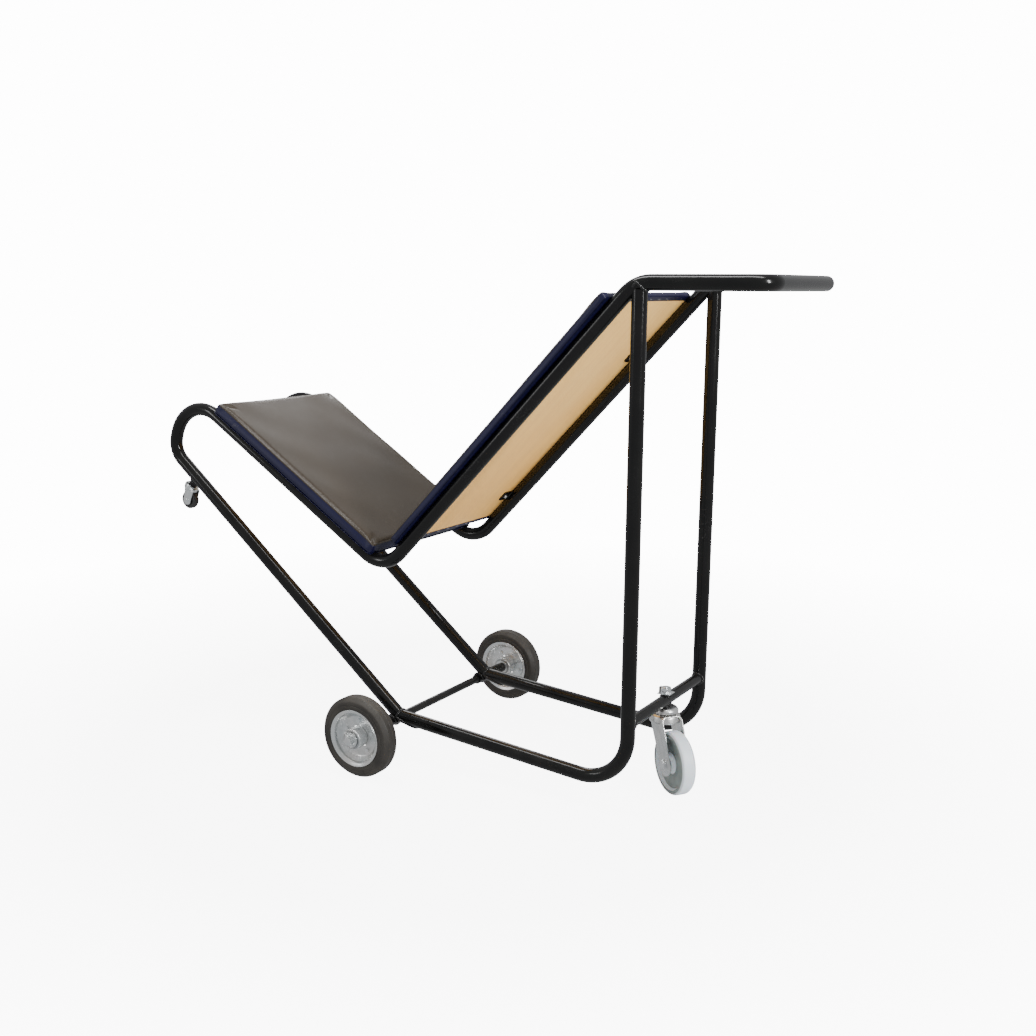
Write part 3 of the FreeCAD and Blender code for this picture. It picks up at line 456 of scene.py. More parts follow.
class Effects:
    """The shader node groups that several finishes use, each built once."""

    def __init__(self) -> None:
        """Builds every group, and keeps the materials made so far by name."""
        self.made: dict[str, bpy.types.Material] = {}
        self.mottle = self._mottle()
        self.scuffs = self._scuffs()
        self.dust = self._dust()
        self.pebble = self._pebble()
        self.wood = self._wood()

    @staticmethod
    def _new(name: str, floats: dict[str, float], outputs: Sequence[str]) -> tuple[Graph, Any, Any]:
        """Empty group with a Vector input, number inputs and number outputs."""
        tree = bpy.data.node_groups.new(name, "ShaderNodeTree")
        tree.interface.new_socket("Vector", in_out="INPUT", socket_type="NodeSocketVector")
        for label, value in floats.items():
            socket = tree.interface.new_socket(label, in_out="INPUT", socket_type="NodeSocketFloat")
            socket.default_value = value
        for label in outputs:
            tree.interface.new_socket(label, in_out="OUTPUT", socket_type="NodeSocketFloat")
        graph = Graph(tree)
        return graph, graph.add("NodeGroupInput"), graph.add("NodeGroupOutput")

    def _mottle(self) -> bpy.types.NodeTree:
        """Soft clouds from 0 to 1; Contrast narrows the span of noise that is spread over that range."""
        graph, given, out = self._new("mottle", {"Scale": 20, "Detail": 4, "Contrast": 0.2}, ["Value"])
        noise = graph.add("TexNoise", {"Vector": given.outputs["Vector"], "Scale": given.outputs["Scale"],
                                       "Detail": given.outputs["Detail"]})
        low = graph.math("SUBTRACT", 0.5, given.outputs["Contrast"])
        high = graph.math("ADD", 0.5, given.outputs["Contrast"])
        spread = graph.add("MapRange", {"Value": noise.outputs[0], "From Min": low, "From Max": high})
        graph.tree.links.new(spread.outputs["Result"], out.inputs["Value"])
        return graph.tree

    def _scuffs(self) -> bpy.types.NodeTree:
        """Thin broken lines: narrow bands of a stretched noise, shown only where a coarse noise is high."""
        graph, given, out = self._new("scuffs", {"Scale": 30, "Amount": 0.5}, ["Mask"])
        stretched = graph.add("Mapping", {"Vector": given.outputs["Vector"], "Scale": (1.0, 6.0, 1.6),
                                          "Rotation": (0.4, 0.9, 0.3)})
        lines = graph.add("TexNoise", {"Vector": stretched.outputs[0], "Scale": given.outputs["Scale"],
                                       "Detail": 2.0, "Distortion": 0.6})
        band = graph.math("ABSOLUTE", graph.math("SUBTRACT", lines.outputs[0], 0.5))
        thin = graph.span(band, 0.0, 0.012, 1.0, 0.0)
        patches = graph.add("TexNoise", {"Vector": given.outputs["Vector"], "Scale": 7.0, "Detail": 3.0})
        where = graph.span(patches.outputs[0], 0.56, 0.70)
        mask = graph.math("MULTIPLY", graph.math("MULTIPLY", thin, where), given.outputs["Amount"])
        graph.tree.links.new(mask, out.inputs["Mask"])
        return graph.tree

    def _dust(self) -> bpy.types.NodeTree:
        """Dust that lies on what faces up, thinned by clouds, and grime that gathers near the floor."""
        graph, given, out = self._new("dust", {"Amount": 0.4, "Reach": 0.25}, ["Mask"])
        facing = graph.add("SeparateXYZ", {0: graph.add("TexCoord").outputs["Normal"]})
        height = graph.add("SeparateXYZ", {0: given.outputs["Vector"]})
        clouds = graph.add("TexNoise", {"Vector": given.outputs["Vector"], "Scale": 18.0, "Detail": 6.0})
        upward = graph.span(facing.outputs["Z"], 0.2, 1.0)
        low = graph.add("MapRange", {"Value": height.outputs["Z"], "From Min": given.outputs["Reach"],
                                     "From Max": 0.0, "To Min": 0.15, "To Max": 1.0})
        patch = graph.span(clouds.outputs[0], 0.38, 0.68)
        gather = graph.math("MULTIPLY",
                            graph.math("ADD", upward, graph.math("MULTIPLY", low.outputs[0], 0.5)), patch)
        mask = graph.math("MULTIPLY", gather, given.outputs["Amount"])
        graph.tree.links.new(mask, out.inputs["Mask"])
        return graph.tree

    def _pebble(self) -> bpy.types.NodeTree:
        """Embossed grain of coated cloth: rounded cells with creases between them, over a finer noise."""
        graph, given, out = self._new("pebble", {"Scale": 700}, ["Height"])
        cells = graph.add("TexVoronoi", {"Vector": given.outputs["Vector"], "Scale": given.outputs["Scale"]},
                          feature="SMOOTH_F1")
        fine = graph.add("TexNoise", {"Vector": given.outputs["Vector"], "Scale": 1600.0, "Detail": 3.0})
        dome = graph.span(cells.outputs["Distance"], 0.05, 0.75, 1.0, 0.0)
        height = graph.math("ADD", graph.math("MULTIPLY", dome, 0.8),
                            graph.math("MULTIPLY", fine.outputs[0], 0.2))
        graph.tree.links.new(height, out.inputs["Height"])
        return graph.tree

    def _wood(self) -> bpy.types.NodeTree:
        """Rotary-cut veneer: long wavering figure and short pores, both stretched along local x."""
        graph, given, out = self._new("veneer", {"Figure": 5}, ["Figure", "Pores", "Fleck"])
        long = graph.add("Mapping", {"Vector": given.outputs["Vector"], "Scale": (0.5, 5.0, 5.0)})
        figure = graph.add("TexNoise",
                           {"Vector": long.outputs[0], "Scale": given.outputs["Figure"], "Detail": 5.0,
                                        "Distortion": 1.4})
        rings = graph.math("PINGPONG", graph.math("MULTIPLY", figure.outputs[0], 7.0), 1.0)
        thin = graph.add("Mapping", {"Vector": given.outputs["Vector"], "Scale": (12.0, 420.0, 420.0)})
        pores = graph.add("TexNoise", {"Vector": thin.outputs[0], "Scale": 1.0, "Detail": 2.0})
        fleck = graph.add("TexNoise", {"Vector": given.outputs["Vector"], "Scale": 3.0, "Detail": 2.0})
        for label, value in (("Figure", rings), ("Pores", graph.span(pores.outputs[0], 0.55, 0.72)),
                             ("Fleck", fleck.outputs[0])):
            graph.tree.links.new(value, out.inputs[label])
        return graph.tree


# ---------------------------------------------------------------------------------------------------------
# Finishes
# ---------------------------------------------------------------------------------------------------------


class Finish:
    """A finish: a name and a material that is built the first time it is asked for."""

    name: str = "finish"

    def material(self, effects: Effects) -> bpy.types.Material:
        """The finish as a material."""
        if self.name in effects.made:
            return effects.made[self.name]
        made = effects.made[self.name] = bpy.data.materials.new(self.name)
        made.use_nodes = True
        graph = Graph(made.node_tree)
        shader = graph.add("BsdfPrincipled")
        output = graph.add("OutputMaterial", {"Surface": shader.outputs[0]})
        output.is_active_output = True
        here = graph.add("TexCoord").outputs["Object"]
        self.build(graph, shader, here, effects)
        return made

    def build(self, graph: Graph, shader: bpy.types.Node, here: Socket, effects: Effects) -> None:
        """Fills in the shader's sockets."""
        raise NotImplementedError

    @staticmethod
    def feed(graph: Graph, shader: bpy.types.Node, base: Socket, rough: Socket, height: Socket | None = None,
             strength: float = 0.2, depth: float = 0.0005) -> None:
        """Links a colour, a roughness and a bump height to the shader."""
        graph.tree.links.new(base, shader.inputs["Base Color"])
        graph.tree.links.new(rough, shader.inputs["Roughness"])
        if height is not None:
            bump = graph.add("Bump", {"Height": height, "Strength": strength, "Distance": depth})
            graph.tree.links.new(bump.outputs[0], shader.inputs["Normal"])


@dataclass(frozen=True)
class Paint(Finish):
    """Gloss enamel on steel: faint orange peel, hairline scuffs and dust that shows the primer through."""

    name: str = "black_enamel"
    tone: float = 0.0030
    rough: float = 0.17
    coat: float = 0.22
    wear: float = 0.3

    def build(self, graph: Graph, shader: bpy.types.Node, here: Socket, effects: Effects) -> None:
        """Fills in the shader's sockets."""
        shader.inputs["Coat Weight"].default_value = self.coat
        shader.inputs["Coat Roughness"].default_value = 0.09
        shader.inputs["Specular IOR Level"].default_value = 0.2
        clouds = graph.effect(effects.mottle, Vector=here, Scale=9.0, Detail=4.0, Contrast=0.18).outputs[0]
        scuffs = graph.effect(effects.scuffs, Vector=here, Scale=34.0, Amount=self.wear).outputs[0]
        dust = graph.effect(effects.dust, Vector=here, Amount=0.05, Reach=0.22).outputs[0]
        peel = graph.effect(effects.mottle, Vector=here, Scale=520.0, Detail=2.0, Contrast=0.3).outputs[0]
        tone = self.tone
        base = graph.mix(clouds, colour(tone * 0.8, tone * 0.8, tone * 0.85),
                         colour(tone * 1.3, tone * 1.25, tone * 1.2))
        base = graph.mix(scuffs, base, colour(0.10, 0.10, 0.10))
        base = graph.mix(dust, base, colour(0.16, 0.15, 0.13))
        rough = graph.span(clouds, 0.0, 1.0, self.rough * 0.8, self.rough * 1.3)
        rough = graph.math("ADD", rough, graph.math("MULTIPLY", graph.math("ADD", scuffs, dust), 0.5))
        self.feed(graph, shader, base, rough, peel, 0.015, 0.0001)


@dataclass(frozen=True)
class Plated(Finish):
    """Zinc-plated steel: soft spangle, a faint warm and cool drift, rubbed lines and dust in the hollows."""

    name: str = "zinc_plate"
    bright: float = 0.80
    rough: float = 0.27
    spangle: float = 60.0
    warm: float = 0.03

    def build(self, graph: Graph, shader: bpy.types.Node, here: Socket, effects: Effects) -> None:
        """Fills in the shader's sockets."""
        shader.inputs["Metallic"].default_value = 1.0
        spangle = graph.effect(effects.mottle, Vector=here, Scale=self.spangle, Detail=6.0,
                               Contrast=0.16).outputs[0]
        drift = graph.effect(effects.mottle, Vector=here, Scale=14.0, Detail=2.0, Contrast=0.2).outputs[0]
        scuffs = graph.effect(effects.scuffs, Vector=here, Scale=80.0, Amount=0.5).outputs[0]
        dust = graph.effect(effects.dust, Vector=here, Amount=0.20, Reach=0.2).outputs[0]
        tone = self.bright
        base = graph.mix(drift, colour(tone + self.warm, tone, tone - self.warm),
                         colour(tone * 0.94, tone, tone * 1.02))
        base = graph.mix(graph.math("MULTIPLY", spangle, 0.35), base,
                         colour(tone * 0.7, tone * 0.72, tone * 0.72))
        base = graph.mix(dust, base, colour(0.22, 0.21, 0.18))
        rough = graph.span(spangle, 0.0, 1.0, self.rough * 0.75, self.rough * 1.45)
        rough = graph.math("ADD", rough, graph.math("MULTIPLY", graph.math("ADD", scuffs, dust), 0.25))
        self.feed(graph, shader, base, rough, spangle, 0.08, 0.0003)


@dataclass(frozen=True)
class Rubber(Finish):
    """Moulded rubber: warm grey bloom over black, fine matt skin, and grime from the floor."""

    name: str = "moulded_rubber"
    dark: tuple[float, float, float] = (0.020, 0.0175, 0.015)
    bloom: tuple[float, float, float] = (0.042, 0.037, 0.031)
    rough: float = 0.55

    def build(self, graph: Graph, shader: bpy.types.Node, here: Socket, effects: Effects) -> None:
        """Fills in the shader's sockets."""
        shader.inputs["Specular IOR Level"].default_value = 0.4
        clouds = graph.effect(effects.mottle, Vector=here, Scale=16.0, Detail=5.0, Contrast=0.2).outputs[0]
        skin = graph.effect(effects.mottle, Vector=here, Scale=900.0, Detail=3.0, Contrast=0.3).outputs[0]
        scuffs = graph.effect(effects.scuffs, Vector=here, Scale=60.0, Amount=0.5).outputs[0]
        dust = graph.effect(effects.dust, Vector=here, Amount=0.30, Reach=0.12).outputs[0]
        base = graph.mix(clouds, colour(*self.dark), colour(*self.bloom))
        base = graph.mix(graph.math("MAXIMUM", scuffs, dust), base, colour(0.12, 0.11, 0.095))
        rough = graph.span(clouds, 0.0, 1.0, self.rough * 0.85, self.rough * 1.3)
        self.feed(graph, shader, base, rough, skin, 0.25, 0.0003)


@dataclass(frozen=True)
class Nylon(Finish):
    """Cast nylon: cool white on the tread, with painted shade that turns the sides dark grey.

    The axle's direction tells the sides, which face along it, from the tread, which faces away from it.
    """

    name: str = "cast_nylon"
    axle: tuple[float, float, float] = (0.0, 1.0, 0.0)

    def build(self, graph: Graph, shader: bpy.types.Node, here: Socket, effects: Effects) -> None:
        """Fills in the shader's sockets."""
        shader.inputs["Subsurface Weight"].default_value = 0.12
        shader.inputs["Subsurface Scale"].default_value = 0.004
        clouds = graph.effect(effects.mottle, Vector=here, Scale=22.0, Detail=5.0, Contrast=0.2).outputs[0]
        scuffs = graph.effect(effects.scuffs, Vector=here, Scale=70.0, Amount=0.6).outputs[0]
        dust = graph.effect(effects.dust, Vector=here, Amount=0.22, Reach=0.05).outputs[0]
        along = graph.add("VectorMath", {0: graph.add("TexCoord").outputs["Normal"], 1: self.axle},
                          operation="DOT_PRODUCT").outputs["Value"]
        # painted shade: faces that point along the axle get dark grey mixed in, standing in for the shade on
        # the wheel's sides
        side_shade = graph.span(graph.math("ABSOLUTE", along), 0.45, 0.85)
        base = graph.mix(clouds, colour(0.78, 0.86, 0.93), colour(0.86, 0.92, 0.97))
        base = graph.mix(side_shade, base, graph.mix(clouds, colour(0.14, 0.17, 0.16), colour(0.26, 0.30, 0.29)))
        base = graph.mix(graph.math("MAXIMUM", scuffs, dust), base, colour(0.38, 0.40, 0.40))
        self.feed(graph, shader, base, graph.span(clouds, 0.0, 1.0, 0.34, 0.5), clouds, 0.08, 0.0003)


@dataclass(frozen=True)
class Vinyl(Finish):
    """Coated upholstery cloth in two shades, with a sewn seam and a row of stitches between them; painted
    shade darkens the seam's crease.

    The shade, the seam and the stitches follow the piece's own attributes: seam, the height over the seam,
    and run, the length along it, both in metres.
    """

    name: str = "upholstery"
    panel: tuple[float, float, float] = (0.036, 0.0255, 0.0150)
    border: tuple[float, float, float] = (0.0045, 0.0045, 0.030)
    two_shades: bool = True

    def build(self, graph: Graph, shader: bpy.types.Node, here: Socket, effects: Effects) -> None:
        """Fills in the shader's sockets."""
        shader.inputs["Specular IOR Level"].default_value = 0.32
        clouds = graph.effect(effects.mottle, Vector=here, Scale=5.0, Detail=5.0, Contrast=0.22).outputs[0]
        pebble = graph.effect(effects.pebble, Vector=here, Scale=620.0).outputs[0]
        scuffs = graph.effect(effects.scuffs, Vector=here, Scale=22.0, Amount=0.45).outputs[0]
        border = graph.mix(clouds, colour(*(part * 0.85 for part in self.border)),
                           colour(*(part * 1.25 for part in self.border)))
        rough = graph.span(clouds, 0.0, 1.0, 0.36, 0.50)
        height = pebble
        base = border
        if self.two_shades:
            seam = graph.add("Attribute", attribute_name="seam").outputs["Fac"]
            run = graph.add("Attribute", attribute_name="run").outputs["Fac"]
            panel = graph.mix(clouds, colour(*(part * 0.88 for part in self.panel)),
                              colour(*(part * 1.14 for part in self.panel)))
            base = graph.mix(graph.span(seam, -0.0003, 0.0003), border, panel)
            crease_and_shade = graph.span(graph.math("ABSOLUTE", seam), 0.0, 0.0014, 1.0, 0.0)
            row = graph.span(graph.math("ABSOLUTE", graph.math("SUBTRACT", seam, 0.0030)), 0.0004, 0.0007,
                             1.0, 0.0)
            dash = graph.span(graph.math("PINGPONG", run, 0.0022), 0.0006, 0.0009)
            stitch = graph.math("MULTIPLY", row, dash)
            # painted shade: the crease along the seam is darkened to near black; the same mask also sinks it
            # as a bump
            base = graph.mix(graph.math("MULTIPLY", crease_and_shade, 0.7), base, colour(0.008, 0.008, 0.012))
            base = graph.mix(graph.math("MULTIPLY", stitch, 0.6), base, colour(0.10, 0.095, 0.09))
            height = graph.math("ADD", pebble, graph.math("MULTIPLY", stitch, 3.0))
            height = graph.math("SUBTRACT", height, graph.math("MULTIPLY", crease_and_shade, 5.0))
        base = graph.mix(graph.math("MULTIPLY", scuffs, 0.5), base, colour(0.19, 0.18, 0.17))
        self.feed(graph, shader, base, rough, height, 0.20, 0.0002)


@dataclass(frozen=True)
class Plywood(Finish):
    """Lacquered birch plywood; the figure runs along the board, which slopes at an angle about y."""

    name: str = "birch_ply"
    slope: float = 0.0
    shift: float = 0.0

    def build(self, graph: Graph, shader: bpy.types.Node, here: Socket, effects: Effects) -> None:
        """Fills in the shader's sockets."""
        shader.inputs["Specular IOR Level"].default_value = 0.2
        shader.inputs["Coat Weight"].default_value = 0.03
        shader.inputs["Coat Roughness"].default_value = 0.35
        lay = graph.add("Mapping", {"Vector": here, "Rotation": (0.0, self.slope, 0.0),
                                    "Location": (self.shift, 0.0, 0.0)})
        wood = graph.effect(effects.wood, Vector=lay.outputs[0], Figure=2.6)
        clouds = graph.effect(effects.mottle, Vector=here, Scale=2.2, Detail=3.0, Contrast=0.25).outputs[0]
        scuffs = graph.effect(effects.scuffs, Vector=here, Scale=26.0, Amount=0.4).outputs[0]
        base = graph.mix(clouds, colour(0.97, 0.53, 0.13), colour(0.98, 0.61, 0.19))
        base = graph.mix(graph.math("MULTIPLY", wood.outputs["Figure"], 0.22), base, colour(0.80, 0.40, 0.11))
        base = graph.mix(graph.math("MULTIPLY", wood.outputs["Pores"], 0.22), base, colour(0.42, 0.24, 0.11))
        base = graph.mix(graph.math("MULTIPLY", scuffs, 0.5), base, colour(0.82, 0.64, 0.42))
        rough = graph.span(wood.outputs["Fleck"], 0.3, 0.7, 0.42, 0.56)
        self.feed(graph, shader, base, rough, wood.outputs["Pores"], 0.15, 0.0003)


@dataclass(frozen=True)
class Ground(Finish):
    """The plain pale floor; to the camera it lifts to the backdrop's white, fully so far from the object."""

    name: str = "pale_floor"

    def build(self, graph: Graph, shader: bpy.types.Node, here: Socket, effects: Effects) -> None:
        """Fills in the shader's sockets."""
        clouds = graph.effect(effects.mottle, Vector=here, Scale=1.5, Detail=3.0, Contrast=0.3).outputs[0]
        base = graph.mix(clouds, colour(0.86, 0.86, 0.86), colour(0.88, 0.88, 0.88))
        self.feed(graph, shader, base, graph.span(clouds, 0.0, 1.0, 0.55, 0.65))
        away = graph.add("VectorMath", {0: here}, operation="LENGTH").outputs["Value"]
        lift = graph.math("MULTIPLY", graph.span(away, 0.9, 2.6, 0.55, 1.0),
                          graph.add("LightPath").outputs["Is Camera Ray"])
        white = graph.add("Emission", {"Color": colour(1, 1, 1), "Strength": BACKDROP})
        both = graph.add("MixShader", {0: lift, 1: shader.outputs[0], 2: white.outputs[0]})
        output = next(node for node in graph.tree.nodes if node.type == "OUTPUT_MATERIAL")
        graph.tree.links.new(both.outputs[0], output.inputs["Surface"])


ENAMEL = Paint()
AXLE_ENAMEL = Paint(name="satin_axle_paint", tone=0.010, rough=0.30, coat=0.15, wear=0.7)
WELD_ENAMEL = Paint(name="painted_weld", tone=0.008, rough=0.20, coat=0.4, wear=0.1)
ZINC = Plated()
BRIGHT_STEEL = Plated(name="bright_steel", bright=0.86, rough=0.14, spangle=120.0, warm=0.01)
SEAL_STEEL = Plated(name="dull_steel", bright=0.50, rough=0.36, spangle=90.0, warm=0.02)
BRONZE = Plated(name="bronze_bush", bright=0.45, rough=0.30, spangle=80.0, warm=0.20)
TYRE = Rubber()
SOLID_RUBBER = Rubber(name="caster_rubber", dark=(0.016, 0.016, 0.017), bloom=(0.034, 0.034, 0.036),
                      rough=0.48)
VINYL = Vinyl()
FOLD_VINYL = Vinyl(name="border_vinyl", two_shades=False)
FLOOR = Ground()


# ---------------------------------------------------------------------------------------------------------
# Pieces
# ---------------------------------------------------------------------------------------------------------


@dataclass
class Workshop:
    """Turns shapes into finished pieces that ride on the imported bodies."""

    effects: Effects
    sharp_angle: float = 34.0

    def mesh(self, name: str, shape: Shape) -> bpy.types.Mesh:
        """Closed mesh with its doubles merged and its faces pointing out."""
        mesh = bpy.data.meshes.new(name)
        mesh.from_pydata(shape.points.tolist(), [], shape.quads.tolist() + shape.caps)
        work = bmesh.new()
        work.from_mesh(mesh)
        bmesh.ops.remove_doubles(work, verts=work.verts, dist=2e-6)
        bmesh.ops.dissolve_degenerate(work, edges=work.edges, dist=1e-7)
        bmesh.ops.recalc_face_normals(work, faces=work.faces)
        work.to_mesh(mesh)
        work.free()
        mesh.polygons.foreach_set("use_smooth", np.ones(len(mesh.polygons), bool))
        mesh.set_sharp_from_angle(angle=math.radians(self.sharp_angle))
        return mesh

    def piece(self, name: str, shape: Shape, body: str, finish: Finish,
              replaces: Sequence[str] = ()) -> bpy.types.Object:
        """Makes a piece.

        Args:
            name: The piece's name.
            shape: Its surface, in the object's frame.
            body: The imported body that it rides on.
            finish: Its finish.
            replaces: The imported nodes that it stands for.

        Returns:
            The new object.
        """
        made = bpy.data.objects.new(name, self.mesh(name, shape))
        bpy.context.scene.collection.objects.link(made)
        made.data.materials.append(finish.material(self.effects))
        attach(made, body)
        if replaces:
            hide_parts(*replaces)
        log.info("%s: %d faces on %s", name, len(made.data.polygons), body)
        return made

    def dress(self, node: str, finish: Finish) -> None:
        """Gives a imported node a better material."""
        shown = frame["nodes"][node]
        shown.data.materials.clear()
        shown.data.materials.append(finish.material(self.effects))
        log.info("%s: %s", node, finish.name)


# ---------------------------------------------------------------------------------------------------------
# Frame
# ---------------------------------------------------------------------------------------------------------


@dataclass
class TubeFrame:
    """The two bent side frames, their cross members and the welds between them."""

    tube_radius: float = 0.01685
    half_spacing: float = 0.199
    foot_offset: float = 0.0165
    foot_rise: float = 0.012
    diagonal_angle: float = math.radians(39.45)
    rail_drop: float = 0.051
    rail_run: float = 0.629
    boss_radius: float = 0.011
    nose_place: float = 0.856
    sleeve_radius: float = 0.01345
    bead: float = 0.0034

    def __post_init__(self) -> None:
        """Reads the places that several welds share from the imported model."""
        self.axle = joint_place("left_wheel_spin")
        self.post_x = float(node_centre("rear_cross_tube")[0])
        self.cross_height = float(node_centre("rear_cross_tube")[2])
        self.handle_height = float(node_centre("handle_loop")[2])
        self.down = np.array([math.cos(self.diagonal_angle), 0, -math.sin(self.diagonal_angle)])

    def foot(self, side: Side) -> Array:
        """Where the axes of the diagonal and of the lower rail cross."""
        return np.array([self.axle[0] + self.foot_offset, side.value * self.half_spacing,
                         self.axle[2] + self.foot_rise])

    def nose_stem(self, side: Side) -> Array:
        """Where a nose caster's stem meets the axis of the diagonal."""
        return self.foot(side) - self.nose_place * self.down

    def side_welds(self, side: Side) -> Shape:
        """The beads of one side frame."""
        foot = self.foot(side)
        radius = self.tube_radius
        rail = unit(np.array([self.rail_run, 0, -self.rail_drop]))
        diagonal_bar = Bar(foot, self.down, radius)
        rail_bar = Bar(foot, rail, radius)
        top = np.array([self.post_x, foot[1], self.handle_height])
        post = np.array([self.post_x, foot[1], self.cross_height])
        inward = np.array([0, -side.value, 0], float)
        sleeve_at = np.array([self.axle[0], foot[1], self.axle[2]])
        beads = [
            weld([diagonal_bar], rail_bar, self.bead),
            weld([Bar(top, np.array([1.0, 0, 0]), radius)], Bar(top, np.array([0, 0, -1.0]), radius),
                 self.bead),
            weld([Bar(post, np.array([0, 0, 1.0]), radius)], Bar(post, inward, self.sleeve_radius),
                 self.bead),
            weld([diagonal_bar], Bar(self.nose_stem(side), self.stem_axis() * -1, self.boss_radius),
                 self.bead * 0.8),
        ]
        for way in (inward, -inward):
            beads.append(weld([diagonal_bar, rail_bar], Bar(sleeve_at, way, self.sleeve_radius), self.bead))
        return Shape.joined(beads)

    def stem_axis(self) -> Array:
        """The direction of the nose casters' stems, up into the diagonal."""
        return np.array([math.sin(self.diagonal_angle), 0, math.cos(self.diagonal_angle)])

    def socket_welds(self) -> Shape:
        """The beads over and under the rear cross tube round the caster's socket."""
        at = np.array([self.post_x, 0, self.cross_height])
        cross = Bar(at, np.array([0, 1.0, 0]), self.sleeve_radius)
        low, high = node_box("caster_socket")
        radius = (high[0] - low[0]) / 2
        return Shape.joined(weld([cross], Bar(at, np.array([0, 0, way]), radius), self.bead * 0.8)
                            for way in (1.0, -1.0))

    def build(self, shop: Workshop) -> None:
        """Dresses the tubes and adds the welds."""
        for side in Side:
            for part in ("bed_tube", "base_tube", "axle_sleeve", "nose_boss"):
                shop.dress(f"{side.word}_{part}", ENAMEL)
            shop.piece(f"{side.word}_frame_welds", self.side_welds(side), "frame", WELD_ENAMEL)
        for node in ("handle_loop", "rear_cross_tube", "caster_socket"):
            shop.dress(node, ENAMEL)
        shop.piece("socket_welds", self.socket_welds(), "frame", WELD_ENAMEL)


# ---------------------------------------------------------------------------------------------------------
# Axle and main wheels
# ---------------------------------------------------------------------------------------------------------


@dataclass
class Axle:
    """The axle rod with its chamfered, plated ends, washers and split pins."""

    radius: float = 0.010
    chamfer: float = 0.0018
    painted_half: float = 0.300
    pin_wire: float = 0.0018
    pin_eye: float = 0.0045
    pin_leg: float = 0.014
    pin_splay: float = 0.006

    def rod(self, length: float) -> Shape:
        """Round bar about local z with a cone at each end and rings where the paint stops."""
        half = length / 2
        radius, chamfer = self.radius, self.chamfer
        outline = np.array([(0, -half), (radius - chamfer, -half), (radius, chamfer - half),
                            (radius, -self.painted_half), (radius, self.painted_half),
                            (radius, half - chamfer), (radius - chamfer, half), (0, half)])
        return turned(outline, closed=False, segments=64)

    def split_pin(self) -> Shape:
        """Bent wire: an eye of most of a circle, two legs down through the rod, their tips bent apart."""
        angle = np.linspace(math.radians(-60), math.radians(240), 40)
        eye = np.stack([self.pin_eye * np.cos(angle), self.pin_eye * np.sin(angle)], -1)
        top = self.radius + self.pin_eye * 1.6
        gap = self.pin_wire / 2
        legs = []
        for way in (-1, 1):
            leg = rounded_outline([(way * gap, top - self.pin_eye), (way * gap, -self.radius - 0.003),
                                   (way * self.pin_splay, -self.radius - self.pin_leg * 0.45)],
                                  [0, 0.003, 0], closed=False)
            legs.append(resampled(leg, 30))
        path = np.concatenate([legs[0][::-1], (eye + [0, top])[::-1], legs[1]])
        points = np.stack([path[:, 0], np.zeros(len(path)), path[:, 1]], -1)
        return tube_along(resampled(points, 120), np.array([0, 1.0, 0]), self.pin_wire / 2, around=10)

    def build(self, shop: Workshop) -> None:
        """Makes the rod, the washers and the pins."""
        low, high = node_box("axle_rod")
        centre = (low + high) / 2
        lengthways = Place.facing(centre, [0, 1, 0], [1, 0, 0])
        rod = shop.piece("axle_bar", self.rod(high[1] - low[1]).at(lengthways), "frame", AXLE_ENAMEL,
                         ["axle_rod"])
        rod.data.materials.append(ZINC.material(shop.effects))
        middles = np.zeros(len(rod.data.polygons) * 3)
        rod.data.polygons.foreach_get("center", middles)
        plated = np.abs(middles.reshape(-1, 3)[:, 1]) > self.painted_half
        rod.data.polygons.foreach_set("material_index", plated.astype(np.int32))
        for side in Side:
            for where in ("inner", "outer"):
                node = f"{side.word}_{where}_washer"
                low, high = node_box(node)
                height = (high[1] - low[1]) / 2
                shape = ring(self.radius, (high[0] - low[0]) / 2, -height, height, 0.0006)
                shop.piece(f"{node}_turned", shape.at(Place.facing((low + high) / 2, [0, 1, 0], [1, 0, 0])),
                           "frame", ZINC, [node])
            low, high = node_box(f"{side.word}_split_pin")
            hole = np.array([centre[0], (low[1] + high[1]) / 2, centre[2]])
            turn = unit([math.sin(0.5 * side.value), 0, math.cos(0.5)])
            shop.piece(f"{side.word}_split_pin_wire",
                       self.split_pin().at(Place.facing(hole, turn, [0, 1, 0.0])),
                       "frame", ZINC, [f"{side.word}_split_pin"])


